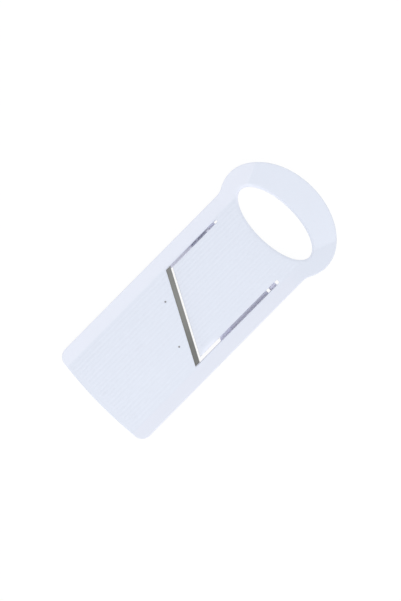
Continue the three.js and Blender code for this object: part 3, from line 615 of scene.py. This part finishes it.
class Finish:
    """A material, or the world, whose nodes are being laid."""

    def __init__(self, owner):
        owner.use_nodes = True
        self.owner = owner
        self.tree = owner.node_tree
        self.tree.nodes.clear()

    def node(self, kind, settings=None, inputs=None):
        made = self.tree.nodes.new(kind)
        for key, value in (settings or {}).items():
            setattr(made, key, value)
        for key, value in (inputs or {}).items():
            self.feed(made.inputs[key], value)
        return made

    def feed(self, socket, value):
        if isinstance(value, Wire):
            value = value.socket
        if isinstance(value, bpy.types.NodeSocket):
            self.tree.links.new(value, socket)
        else:
            socket.default_value = value

    def wire(self, kind, settings=None, inputs=None, output=0):
        return Wire(self, self.node(kind, settings, inputs).outputs[output])

    def place(self, scale=(1, 1, 1), turn=0.0):
        """Board coordinates, stretched and turned about the vertical."""
        spot = self.node("ShaderNodeTexCoord").outputs["Object"]
        inputs = {"Vector": spot, "Rotation": (0, 0, turn), "Scale": scale}
        return self.node("ShaderNodeMapping", None, inputs).outputs[0]

    def spot(self, axis):
        """Place on one axis of the board."""
        spot = self.node("ShaderNodeTexCoord").outputs["Object"]
        return self.wire("ShaderNodeSeparateXYZ", None, {0: spot}, axis)

    def noise(self, vector, scale=1.0, detail=3.0, rough=0.5):
        inputs = {"Vector": vector, "Scale": scale, "Detail": detail, "Roughness": rough}
        return self.wire("ShaderNodeTexNoise", None, inputs, "Fac")

    def blend(self, mask, first, second):
        """Two colours mixed by a mask."""
        mixed = self.node("ShaderNodeMix", {"data_type": "RGBA"})
        sockets = {s.name: s for s in mixed.inputs if s.type == "RGBA" or s.identifier == "Factor_Float"}
        for name, value in (("Factor", mask), ("A", first), ("B", second)):
            self.feed(sockets[name], value)
        return Wire(self, next(s for s in mixed.outputs if s.type == "RGBA"))

    def tone(self, base, mask, spread):
        """Base colour, lightened and darkened by a mask round one half."""
        dark = [c * (1 - spread) for c in base] + [1]
        light = [min(c * (1 + spread), 1) for c in base] + [1]
        return self.blend(mask, dark, light)

    def step(self, value, start, end):
        """Mask that turns smoothly from 0 to 1 as the value goes from start to end."""
        inputs = {"Value": value, "From Min": start, "From Max": end}
        return self.wire("ShaderNodeMapRange", {"interpolation_type": "SMOOTHSTEP"}, inputs)

    def band(self, value, rise, fall):
        """Mask that comes up along one stretch and goes down along another, given from its far end."""
        return self.step(value, *rise) * self.step(value, *fall)

    def bump(self, height, strength, distance):
        inputs = {"Height": height, "Strength": strength, "Distance": distance}
        return self.wire("ShaderNodeBump", None, inputs)

    def background_rays(self):
        """1 on the rays by which the camera, metal and glass see the background."""
        path = self.node("ShaderNodeLightPath").outputs
        kinds = ("Is Camera Ray", "Is Glossy Ray", "Is Transmission Ray")
        camera, glossy, through = (Wire(self, path[kind]) for kind in kinds)
        return camera + glossy + through

    def surface(self, inputs):
        """Closes the finish with its shader and gives the material back."""
        shader = self.node("ShaderNodeBsdfPrincipled", None, inputs)
        self.node("ShaderNodeOutputMaterial", None, {"Surface": shader.outputs[0]})
        return self.owner


def new_finish(name):
    return Finish(bpy.data.materials.new(name))


def painted_rail_light_mask(finish):
    """1 on the faces that slope up to the sides, 0 on the bed, the grip and the right of the ring. These
    get painted light: a lighter colour for the light that the sloping faces catch.
    """
    b = board_sizes()
    over_crease = (-0.2 * MM, 0.4 * MM)
    past_slots = (60 * MM, 95 * MM)
    right_half = (0, 1 * MM)
    across = finish.spot("X")
    along = finish.spot("Y")
    rail = (abs(across) - b.bed_width / 2) * math.tan(b.rail_slope)
    grip = (along - b.grip_start) * math.tan(b.grip_slope)
    ring = finish.step(along, *past_slots) * finish.step(across, *right_half)
    return finish.step(rail - grip.above(0.0), *over_crease) * (1 - ring)


def painted_wall_light_mask(finish):
    """1 on the walls of the slots below the bed, 0 on the outer faces of the runners. These get painted
    light: a lighter, bluer colour that lifts the dim slot walls.
    """
    b = board_sizes()
    wall = b.slot_outer / 2
    below_bed = (b.bed_height - 2.6 * MM, b.bed_height - 4.5 * MM)
    up_to_wall = (wall - 10 * MM, wall - 8 * MM)
    past_wall = (wall + 1.2 * MM, wall + 0.5 * MM)
    up_to_blade = (-80 * MM, -65 * MM)
    past_slots = (b.slot_end + 6 * MM, b.slot_end + 2 * MM)
    deep = finish.step(finish.spot("Z"), *below_bed)
    beside = finish.band(abs(finish.spot("X")), up_to_wall, past_wall)
    return deep * beside * finish.band(finish.spot("Y"), up_to_blade, past_slots)


def painted_lip_light_mask(finish):
    """1 where the deck thins at the throat, most at its right corner, 0 off the deck. There painted light
    lifts the shade beside the blade.
    """
    k = blade_sizes()
    left, right = deck_sides()
    thinning = (7 * MM, 2.5 * MM)
    on_deck = (1.0 * MM, 1.5 * MM)
    to_right = (5 * MM, right)
    corner_across = (right - 6 * MM, right)
    corner_along = (-20 * MM, -32 * MM)
    past_left = (left - 1.0 * MM, left - 0.5 * MM)
    past_right = (right + 1.0 * MM, right + 0.5 * MM)
    least = 0.3
    across = finish.spot("X")
    along = finish.spot("Y")
    ahead = (along + across * math.tan(k.skew) - k.edge_y) * math.cos(k.skew)
    lip = finish.step(ahead, *thinning) * (finish.step(across, *to_right) * (1 - least) + least)
    corner = finish.step(across, *corner_across) * finish.step(along, *corner_along)
    deck = finish.step(ahead, *on_deck) * finish.band(across, past_left, past_right)
    return lip.above(corner) * deck


def painted_hole_highlight_mask(finish):
    """1 at the rounded edge of the hand hole, fading away from it and toward its right end. There a
    painted highlight stands for the lamp's reflection on the edge.
    """
    b = board_sizes()
    to_edge = (1.2, 1.02)
    to_left = (0.3, 0.9)
    upward = 0.45
    across = finish.spot("X") * (1 / b.hole_semi_x)
    along = (finish.spot("Y") - b.hole_y) * (1 / b.hole_semi_y)
    out = across * across + along * along
    return finish.step(out, *to_edge) * finish.step(along * upward - across, *to_left)


def moulded_plastic(name, base, rough, rail=None, inner=None):
    """Satin white moulding: faint flow tone, fine mould grain and light scuffs along the board.

    rail is the colour of the rails and the ring's left side, lighter as painted light, and inner that of
    the slots' walls, lighter and bluer as painted light, where the piece has them. A lighter rail colour
    also paints a highlight on the hand hole's rounded edge and painted light on the deck's lip.
    """
    finish = new_finish(name)
    spread = 0.016
    scuff_share = 0.3
    flow = finish.noise(finish.place(), scale=28.0)
    grain = finish.noise(finish.place(), scale=2600.0, detail=2.0)
    scuff = finish.noise(finish.place((900, 26, 900)), detail=4.0, rough=0.62)
    worn = scuff.swing(0.16) + grain.swing(0.06) + rough
    streak = flow * (1 - scuff_share) + scuff * scuff_share
    shade = finish.tone(base, streak, spread)
    if rail:
        slot_end = board_sizes().slot_end
        grip = (slot_end + 14 * MM, slot_end + 22 * MM)
        grip_polish = 0.16
        # Painted highlight on the hand hole's edge and painted light on the deck's lip: the rail colour
        # made lighter
        painted_light_gain = 1.1
        painted_light = [c * painted_light_gain for c in rail]
        # Painted light and a painted highlight laid over the board's own colour, place by place
        places = (
            (painted_rail_light_mask(finish), rail),
            (painted_hole_highlight_mask(finish).above(painted_lip_light_mask(finish)), painted_light),
            (painted_wall_light_mask(finish), inner),
        )
        for mask, paint in places:
            shade = finish.blend(mask, shade, finish.tone(paint, streak, spread))
        worn = worn - finish.step(finish.spot("Y"), *grip) * grip_polish
    return finish.surface(
        {
            "Base Color": shade,
            "Roughness": worn,
            "Normal": finish.bump(grain, strength=0.12, distance=0.06 * MM),
            "IOR": 1.5,
            "Specular IOR Level": 0.42,
        }
    )


def ground_steel(name, base, turn, rough):
    """Stainless strip with fine grinding lines along its length, with painted shade that makes its
    reflection darker to the right.
    """
    finish = new_finish(name)
    spread = 0.14
    cloud_share = 0.3
    # Painted shade: the blade darker toward its right end, standing for a dimmer reflection there
    painted_shade_span = (-15 * MM, 40 * MM)
    dark = [c * 0.72 for c in base]
    lines = finish.noise(finish.place((12, 5200, 5200), turn), detail=4.0, rough=0.7)
    cloud = finish.noise(finish.place(), scale=60.0)
    grind = lines * (1 - cloud_share) + cloud * cloud_share
    right = finish.step(finish.spot("X"), *painted_shade_span)
    pale = finish.tone(base, grind, spread)
    return finish.surface(
        {
            "Base Color": finish.blend(right, pale, finish.tone(dark, grind, spread)),
            "Metallic": 1.0,
            "Roughness": lines.swing(0.22) + cloud.swing(0.1) + rough,
            "Normal": finish.bump(lines, strength=0.25, distance=0.03 * MM),
        }
    )


def turned_metal(name, base, rough):
    """Small machined metal piece with a fine turned grain."""
    finish = new_finish(name)
    grain = finish.noise(finish.place((700, 700, 5200)), rough=0.6)
    stain = finish.noise(finish.place(), scale=420.0)
    return finish.surface(
        {
            "Base Color": finish.tone(base, grain * 0.5 + stain * 0.5, spread=0.16),
            "Metallic": 1.0,
            "Roughness": grain.swing(0.2) + stain.swing(0.2) + rough,
            "Normal": finish.bump(grain, strength=0.2, distance=0.04 * MM),
        }
    )


def finish_named(name):
    """Finish of one name, made once."""
    found = bpy.data.materials.get(name)
    if found:
        return found
    c = bpy.context.scene.slicer_colours
    if name == "cool_white_moulding":
        return moulded_plastic(name, c.board, rough=0.5, rail=c.rail, inner=c.inner)
    if name == "plain_white_moulding":
        return moulded_plastic(name, c.under, rough=0.46)
    if name == "ground_blade_steel":
        return ground_steel(name, c.blade, blade_sizes().skew, rough=0.36)
    if name == "fastener_steel":
        return turned_metal(name, c.fastener, rough=0.38)
    if name == "dark_rivet_steel":
        return turned_metal(name, c.rivet, rough=0.5)
    if name == "machined_brass":
        return turned_metal(name, c.brass, rough=0.34)
    raise ValueError(f"no finish named {name}")


def dress_node(node, finish):
    """CAD piece with a finish of this scene in place of its own."""
    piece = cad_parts[node]
    piece.data.materials.clear()
    piece.data.materials.append(finish_named(finish))
    return piece


def ease_node(node, finish, width):
    """Dressed CAD piece with eased edges and smooth rounds."""
    piece = dress_node(node, finish)
    weld = piece.modifiers.new("Join corners", "WELD")
    weld.merge_threshold = TOUCH
    bevel = piece.modifiers.new("Ease edges", "BEVEL")
    bevel.width = width
    bevel.segments = EASE_SEGMENTS
    bevel.limit_method = "ANGLE"
    bevel.angle_limit = SHARP_FROM
    bevel.use_clamp_overlap = True
    weight_normals(piece)


# Operators


class SLICER_OT_board(bpy.types.Operator):
    """Build the moulded board with its ring handle, rails, runners and ribbed outfeed deck"""

    bl_idname = "slicer.board"
    bl_label = "Board"

    def execute(self, context):
        bm = bmesh.new()
        self.shell(bm)
        self.runners(bm)
        self.blade_seat(bm)
        self.bosses(bm)
        self.ribs(bm)
        piece = make_piece(bm, "board_moulding", finish_named("cool_white_moulding"))
        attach(piece, "board")
        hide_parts("body_shell")
        return {"FINISHED"}

    def contour(self, bm, points, side, steps):
        """First and last of the rings down one contour. A step is an inset and a height function."""
        normals = mitre_normals(points)
        rings = []
        for inset, height in steps:
            ring = []
            for (x, y), (nx, ny) in zip(points, normals):
                px = x - nx * inset * side
                py = y - ny * inset * side
                ring.append((px, py, height(px, py)))
            rings.append(add_ring(bm, ring))
        bridge_rings(bm, rings)
        return rings[0], rings[-1]

    def rim_steps(self, radius):
        """Steps from the top face, over the edge and round the rim, to the underside."""
        b = board_sizes()
        foot = b.wall + b.rim_depth
        ease = 0.4 * MM
        root = 0.8 * MM
        near_root = 0.3 * root
        edge_steps = 6
        foot_steps = 4
        steps = rounded(radius, edge_steps)
        steps += [(inset, foot - drop) for inset, drop in reversed(rounded(b.rim_round, foot_steps))]
        steps.append((b.rim_wall - ease, foot))
        steps.append((b.rim_wall, foot - ease))
        steps.append((b.rim_wall, b.wall + root))
        steps.append((b.rim_wall + near_root, b.wall + near_root))
        steps.append((b.rim_wall + root, b.wall))
        return [(inset, below_top(drop)) for inset, drop in steps]

    def drilled_steps(self):
        """Steps down a rivet hole with an eased mouth."""
        mouth = rounded(0.15 * MM, steps=3)
        return [(inset, below_top(drop)) for inset, drop in mouth] + [(0, board_under)]

    def opening(self, bm):
        """First and last of the rings down the slots, the outfeed lip and the deck's root."""
        points = opening_outline()
        rings = edge_rings(bm, points, 1, board_top)
        rings.append(add_ring(bm, [(x, y, board_under(x, y)) for x, y, _ in points]))
        bridge_rings(bm, rings)
        return rings[0], rings[-1]

    def crease_lines(self):
        """Lines along the creases of the trough, clear of the edges and openings."""
        b = board_sizes()
        half = b.bed_width / 2
        soft = b.crease_soft / math.tan(b.rail_slope)
        reach = b.crease_soft / math.tan(b.grip_slope)
        mitre = math.tan(b.rail_slope) / math.tan(b.grip_slope)
        out = b.ring_semi_x - half
        lines = []
        for side in (-1, 1):
            for share in (-1, -0.5, 0, 0.5, 1):
                x = side * (half + share * soft)
                lines.append([(x, CAD_BOX[0].y), (x, b.grip_start)])
                lines.append([(x, b.grip_start), (x + side * out, b.grip_start + out * mitre)])
        for share in (-1, 0, 1):
            y = b.grip_start + share * reach
            lines.append([(-half, y), (half, y)])
        margin = 0.6 * MM
        edge = offset(board_outline(), -b.edge_round - margin)
        hole = offset(hole_outline(), b.hole_round + margin)
        slots = offset([(x, y) for x, y, _ in opening_outline()], b.slot_round + margin)

        def clear(spot):
            return inside(spot, edge) and not inside(spot, hole) and not inside(spot, slots)

        return trimmed(lines, clear)

    def under_lines(self):
        """Lines on the underside along the runners, the blade's hollow and the rails."""
        b = board_sizes()
        k = blade_sizes()
        inner = b.slot_outer / 2
        beside = 1.2 * MM
        edge = inner - 0.2 * MM
        margin = b.rim_wall + 2 * MM
        meets = (k.edge_lift + k.gap + b.wall) / math.tan(k.pitch)
        lines = [[(x, diagonal_y(x, meets)) for x in (-edge, edge)]]
        for side in (-1, 1):
            for x in (inner + beside, b.bed_width / 2 + beside):
                lines.append([(side * x, CAD_BOX[0].y), (side * x, b.grip_start)])
        rim = offset(board_outline(), -margin)
        hole = offset(hole_outline(), margin)
        return trimmed(lines, lambda spot: inside(spot, rim) and not inside(spot, hole))

    def shell(self, bm):
        """Wall and rim of the board, with the hand hole, the slots and the rivet holes."""
        b = board_sizes()
        hole = blade_sizes().rivet_hole
        hole_steps = 24
        outer_top, outer_low = self.contour(bm, board_outline(), 1, self.rim_steps(b.edge_round))
        cuts = [self.contour(bm, hole_outline(), -1, self.rim_steps(b.hole_round))]
        cuts.append(self.opening(bm))
        for node in RIVETS:
            drilled = ellipse(*node_middle(node), hole, hole, hole_steps)
            cuts.append(self.contour(bm, drilled, -1, self.drilled_steps()))
        fill_face(bm, outer_top, [top for top, _ in cuts], self.crease_lines(), board_top)
        fill_face(bm, outer_low, [low for _, low in cuts], self.under_lines(), board_under)

    def runners(self, bm):
        """Webs under the rails that carry the board."""
        b = board_sizes()
        inner = b.slot_outer / 2
        top = b.bed_height - INTO_WALL
        foot_in = 1.2 * MM
        wall = 2.6 * MM
        ease = 0.35 * MM
        front = -150 * MM
        rear = 76 * MM
        nose_rise = 8 * MM
        nose_end = front + 7 * MM
        step = b.slot_end - 3 * MM
        heel = step - 1.5 * MM
        tail = b.bed_height - 7 * MM
        stations = ((front, nose_rise), (nose_end, 0), (heel, 0), (step, tail), (rear, tail))
        for side in (-1, 1):
            sections = []
            for y, low in stations:
                face = inner - foot_in * (top - low) / top
                section = [(face, low), (face + wall, low), (inner + wall, top), (inner, top)]
                sections.append([(side * x, y, z) for x, z in section])
            loft_solid(bm, sections, ease)
        self.webs(bm, front, rear, tail, top)

    def webs(self, bm, front, rear, tail, top):
        """Cross webs between the runners and two ribs along the outfeed deck."""
        span = board_sizes().slot_outer / 2 + 0.8 * MM
        set_in = 0.3 * MM
        end_web = 2.4 * MM
        front_foot = 12 * MM
        cross_y = -111 * MM
        cross_foot = 16 * MM
        rib_x = 18 * MM
        rib_foot = 18 * MM
        rib_start = front + 1 * MM
        half_web = 1 * MM
        behind_seat = blade_sizes().width + 1.5 * MM
        box_solid(bm, (-span, front + set_in, front_foot), (span, front + end_web, top))
        box_solid(bm, (-span, rear - end_web, tail + set_in), (span, rear - set_in, top))
        box_solid(bm, (-span, cross_y - half_web, cross_foot), (span, cross_y + half_web, top))
        for x in (-rib_x, rib_x):
            far = diagonal_y(x, behind_seat)
            box_solid(bm, (x - half_web, rib_start, rib_foot), (x + half_web, far, top))

    def blade_seat(self, bm):
        """Wedge above the blade and the wall that stops its back."""
        b = board_sizes()
        k = blade_sizes()
        top = b.bed_height - INTO_WALL
        foot = b.bed_height - 8.4 * MM
        front = k.width - 10 * MM
        back = k.width + k.gap
        rear = back + k.seat_wall
        profile = [(front, top), (front, blade_top(front) + k.gap), (back, blade_top(back) + k.gap)]
        profile += [(back, foot), (rear, foot), (rear, top)]
        edge = b.slot_outer / 2
        ends = (-edge, edge)
        loft_solid(bm, [[(x, diagonal_y(x, behind), z) for behind, z in profile] for x in ends])

    def bosses(self, bm):
        """Blocks on the runners that take the bridge plate's screws, the front ones on a thin web."""
        half_across = 3 * MM
        half_along = 4 * MM
        half_web = 0.8 * MM
        web_trim = 0.3 * MM
        wall = board_sizes().slot_outer / 2 + 0.5 * MM
        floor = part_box("bridge_plate")[1].z + 0.3 * MM
        roof = 17 * MM
        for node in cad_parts:
            if not node.startswith("bridge_screw"):
                continue
            x, y = node_middle(node)
            side = math.copysign(1, x)
            out = abs(x)
            if "front" in node:
                blocks = [(out - half_across, out + half_across, half_along, 0.0)]
                blocks.append((out, wall, half_web, web_trim))
            else:
                blocks = [(out - half_across, wall, half_along, 0.0)]
            for near, far, half, trim in blocks:
                left, right = sorted((side * near, side * far))
                box_solid(bm, (left, y - half, floor + trim), (right, y + half, roof - trim))

    def ribs(self, bm):
        """Rows of ribs on the outfeed deck, and between the slots and the hand hole."""
        b = board_sizes()
        k = blade_sizes()
        end_margin = 6 * MM
        lip_margin = 0.9 * MM
        hole_margin = 1 * MM
        past_rivet = k.rivet_hole + 1.2 * MM
        count = int(b.slot_outer / 2 / b.rib_pitch)
        for i in range(-count, count + 1):
            x = i * b.rib_pitch
            low = CAD_BOX[0].y + end_margin
            for node in RIVETS:
                rivet_x, rivet_y = node_middle(node)
                if abs(x - rivet_x) < k.rivet_hole + b.rib_base / 2:
                    add_rib(bm, x, low, rivet_y - past_rivet, [], (True, True))
                    low = rivet_y + past_rivet
            add_rib(bm, x, low, diagonal_y(x, k.shown + lip_margin), [], (True, True))
            hole = b.hole_y - b.hole_semi_y * math.sqrt(1 - (x / b.hole_semi_x) ** 2)
            beside_deck = abs(x) > deck_sides()[1]
            far = hole - b.hole_round - hole_margin
            add_rib(bm, x, b.slot_end, far, [], (beside_deck, True))


class SLICER_OT_deck(bpy.types.Operator):
    """Build the ribbed infeed deck, which bends where it leaves the board"""

    bl_idname = "slicer.deck"
    bl_label = "Infeed deck"

    def execute(self, context):
        bm = bmesh.new()
        self.plate(bm)
        self.stiffeners(bm)
        self.ribs(bm)
        for vert in bm.verts:
            vert.co.z -= self.drop(vert.co.y)
        piece = make_piece(bm, "infeed_deck_moulding", finish_named("cool_white_moulding"))
        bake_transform(piece)
        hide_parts("infeed_deck")
        return {"FINISHED"}

    def drop(self, y):
        """Fall of the bent deck at rest."""
        b = board_sizes()
        reach = b.slot_end - y
        arm = b.slot_end - blade_sizes().edge_y
        slope = b.slice / (arm - b.flex / 2)
        if reach <= 0:
            return 0.0
        if reach < b.flex:
            return slope * reach * reach / (2 * b.flex)
        return slope * (reach - b.flex / 2)

    def stations(self):
        """Places along the deck at which it bends."""
        b = board_sizes()
        steps = 8
        return [b.slot_end - b.flex * i / steps for i in range(1, steps + 1)]

    def outline(self):
        """Contour of the deck, with the edge radius at each point."""
        b = board_sizes()
        left, right = deck_sides()
        edge = b.slot_round
        run_out = 1 * MM
        sides = [b.slot_end - run_out] + self.stations()
        points = [(x, diagonal_y(x, -blade_sizes().throat), edge) for x in (left, right)]
        points += [(right, y, edge) for y in reversed(sides)]
        points += [(x, b.slot_end, 0) for x in (right, left)]
        points += [(left, y, edge) for y in sides]
        return points

    def plate(self, bm):
        """Flat deck with rounded edges, thinned to a lip at the throat."""
        b = board_sizes()
        throat = blade_sizes().throat
        top = b.bed_height
        lip = 0.9 * MM
        bevel = 2.4 * MM
        margin = b.slot_round + 0.4 * MM

        def under(x, y):
            inward = -throat - behind_edge(x, y)
            share = min(max(inward / bevel, 0), 1)
            return top - lip - (b.wall - lip) * share

        points = self.outline()
        rings = edge_rings(bm, points, -1, lambda x, y: top)
        rings.append(add_ring(bm, [(x, y, under(x, y)) for x, y, _ in points]))
        bridge_rings(bm, rings)
        left, right = deck_sides()
        ends = (left + margin, right - margin)
        across = [[(x, y) for x in ends] for y in self.stations()]
        chamfer = [(x, diagonal_y(x, -throat - bevel)) for x in ends]
        fill_face(bm, rings[0], [], across, lambda x, y: top)
        fill_face(bm, rings[-1], [], across + [chamfer], under)

    def stiffeners(self, bm):
        """Ribs and the thrust boss under the deck."""
        b = board_sizes()
        low = b.bed_height - b.wall
        sunk = low + 1 * MM
        half_rib = 1 * MM
        rib_x = 30 * MM
        rib_foot = low - 2.4 * MM
        rib_far = b.slot_end - 18 * MM
        lip_margin = 5 * MM
        cross_foot = low - 1.6 * MM
        pad_y = node_middle("thrust_pad")[1]
        for x in (-rib_x, rib_x):
            near = diagonal_y(x, -blade_sizes().throat - lip_margin)
            box_solid(bm, (x - half_rib, near, rib_foot), (x + half_rib, rib_far, sunk))
        box_solid(bm, (-rib_x, pad_y - half_rib, cross_foot), (rib_x, pad_y + half_rib, sunk))
        boss = 7 * MM
        boss_steps = 48
        boss_face = boss * 0.95
        boss_foot = low - 3.1 * MM
        boss_eased = low - 2.8 * MM
        sections = []
        for radius, z in ((boss_face, boss_foot), (boss, boss_eased), (boss, sunk)):
            sections.append([(x, y, z) for x, y in ellipse(0, pad_y, radius, radius, boss_steps)])
        loft_solid(bm, sections)

    def ribs(self, bm):
        """Row of ribs along the deck, as many as fit between its sides."""
        b = board_sizes()
        left, right = deck_sides()
        lip_margin = 0.9 * MM
        edge = b.slot_round + b.rib_base / 2
        first = math.ceil((left + edge) / b.rib_pitch)
        last = math.floor((right - edge) / b.rib_pitch)
        for i in range(first, last + 1):
            x = i * b.rib_pitch
            near = diagonal_y(x, -blade_sizes().throat - lip_margin)
            add_rib(bm, x, near, b.slot_end, self.stations(), (True, False))


class SLICER_OT_blade(bpy.types.Operator):
    """Finish the blade, its clamp and its rivets"""

    bl_idname = "slicer.blade"
    bl_label = "Blade"

    def execute(self, context):
        dress_node("slicing_blade", "ground_blade_steel")
        ease_node("blade_clamp", "plain_white_moulding", width=0.3 * MM)
        for node in RIVETS:
            ease_node(node, "dark_rivet_steel", width=0.08 * MM)
        return {"FINISHED"}


class SLICER_OT_bridge(bpy.types.Operator):
    """Finish the bridge plate under the deck and its screws"""

    bl_idname = "slicer.bridge"
    bl_label = "Bridge plate"

    def execute(self, context):
        ease_node("bridge_plate", "plain_white_moulding", width=0.25 * MM)
        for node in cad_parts:
            if node.startswith("bridge_screw"):
                ease_node(node, "fastener_steel", width=0.1 * MM)
        return {"FINISHED"}


class SLICER_OT_adjuster(bpy.types.Operator):
    """Finish the knob, stud, nut and thrust pad that set the slice"""

    bl_idname = "slicer.adjuster"
    bl_label = "Thickness adjuster"

    def execute(self, context):
        ease_node("adjuster_knob", "plain_white_moulding", width=0.3 * MM)
        ease_node("adjuster_stud", "fastener_steel", width=0.08 * MM)
        for node in ("adjuster_nut", "thrust_pad"):
            ease_node(node, "machined_brass", width=0.15 * MM)
        return {"FINISHED"}


class SLICER_OT_stage(bpy.types.Operator):
    """Lay the pale floor and set the light and the camera"""

    bl_idname = "slicer.stage"
    bl_label = "Stage"

    def execute(self, context):
        self.floor(context)
        self.sky(context)
        self.key_lamp(context)
        self.camera(context)
        context.scene.view_settings.view_transform = "Standard"
        return {"FINISHED"}

    def floor(self, context):
        """Pale table, which takes the object's shadow and is nearly white to the camera."""
        reach = 3.0
        glow_level = 1.02
        seen_glow = 0.94
        lit = context.scene.slicer_stage.table
        mesh = bpy.data.meshes.new("floor")
        corners = [(-reach, -reach, 0), (reach, -reach, 0), (reach, reach, 0), (-reach, reach, 0)]
        mesh.from_pydata(corners, [], [(0, 1, 2, 3)])
        table = add_object("floor", mesh)
        finish = new_finish("pale_table")
        base = list(context.scene.slicer_colours.floor) + [1]
        matte = finish.node("ShaderNodeBsdfDiffuse", None, {"Color": base})
        glow = finish.node("ShaderNodeEmission", None, {"Color": WHITE, "Strength": glow_level})
        share = finish.background_rays() * (seen_glow - lit) + lit
        inputs = {0: share, 1: matte.outputs[0], 2: glow.outputs[0]}
        mixed = finish.node("ShaderNodeMixShader", None, inputs)
        finish.node("ShaderNodeOutputMaterial", None, {"Surface": mixed.outputs[0]})
        mesh.materials.append(finish.owner)

    def sky(self, context):
        """Soft tent of light round the object, and a plain white background."""
        world = bpy.data.worlds.new("even_sky")
        context.scene.world = world
        finish = Finish(world)
        s = context.scene.slicer_stage
        falloff = 2.0

        def light(tint, strength):
            inputs = {"Color": tint, "Strength": strength}
            return finish.node("ShaderNodeBackground", None, inputs).outputs[0]

        def mixed(share, first, second):
            inputs = {0: share, 1: first, 2: second}
            return finish.node("ShaderNodeMixShader", None, inputs).outputs[0]

        way = finish.node("ShaderNodeTexCoord").outputs["Generated"]
        rise = finish.wire("ShaderNodeSeparateXYZ", None, {0: way}, "Z")
        across = finish.wire("ShaderNodeSeparateXYZ", None, {0: way}, "X")
        wall = light(list(s.wall_tint) + [1], (1 - across * s.wall_side) * s.wall)
        tent = mixed((1 - rise) ** falloff, light(WHITE, s.roof), wall)
        seen = mixed(finish.background_rays(), tent, light(WHITE, 1.0))
        finish.node("ShaderNodeOutputWorld", None, {"Surface": seen})

    def key_lamp(self, context):
        """One large soft lamp above the foot of the picture, turned to the board."""
        lamp = bpy.data.lights.new("key_lamp", "AREA")
        lamp.shape = "SQUARE"
        lamp.size = 1.2
        lamp.energy = context.scene.slicer_stage.key
        holder = add_object("key_lamp", lamp)
        holder.location = (0.7, -0.55, 2.3)
        holder.rotation_euler = Vector(holder.location).to_track_quat("Z", "Y").to_euler()

    def camera(self, context):
        s = context.scene.slicer_stage
        lens = bpy.data.cameras.new("camera")
        lens.sensor_fit = "VERTICAL"
        lens.sensor_height = 36.0
        lens.sensor_width = lens.sensor_height * IMAGE_WIDTH / IMAGE_HEIGHT
        lens.lens = lens.sensor_height * s.distance / (s.mm_per_pixel * IMAGE_HEIGHT)
        lens.clip_start = 0.05
        lens.clip_end = 20
        eye = add_object("camera", lens)
        back = Vector((math.tan(s.lean_x), math.tan(s.lean_y), 1)).normalized()
        up = Vector((-math.sin(s.turn), math.cos(s.turn), 0))
        right = up.cross(back).normalized()
        up = back.cross(right).normalized()
        aim = Vector((s.aim_x, s.aim_y, board_sizes().bed_height))
        axes = Matrix((right, up, back)).transposed()
        eye.matrix_world = Matrix.Translation(aim + back * s.distance) @ axes.to_4x4()
        context.scene.camera = eye


class SLICER_PT_panel(bpy.types.Panel):
    """Pieces and stage of the slicer"""

    bl_label = "Vegetable slicer"
    bl_idname = "SLICER_PT_panel"
    bl_space_type = "VIEW_3D"
    bl_region_type = "UI"
    bl_category = "Slicer"

    def draw(self, context):
        for operator in OPERATORS:
            self.layout.operator(operator.bl_idname)


OPERATORS = (
    SLICER_OT_board,
    SLICER_OT_deck,
    SLICER_OT_blade,
    SLICER_OT_bridge,
    SLICER_OT_adjuster,
    SLICER_OT_stage,
)
GROUPS = {
    "slicer_board": BoardSizes,
    "slicer_blade": BladeSizes,
    "slicer_colours": FinishColours,
    "slicer_stage": StageSettings,
}
CLASSES = (*GROUPS.values(), *OPERATORS, SLICER_PT_panel)


def register():
    for kind in CLASSES:
        bpy.utils.register_class(kind)
    for name, group in GROUPS.items():
        setattr(bpy.types.Scene, name, PointerProperty(type=group))


def unregister():
    for name in GROUPS:
        delattr(bpy.types.Scene, name)
    for kind in reversed(CLASSES):
        bpy.utils.unregister_class(kind)


def main():
    register()
    bpy.ops.slicer.board()
    bpy.ops.slicer.deck()
    bpy.ops.slicer.blade()
    bpy.ops.slicer.bridge()
    bpy.ops.slicer.adjuster()
    bpy.ops.slicer.stage()


if __name__ == "__main__":
    main()
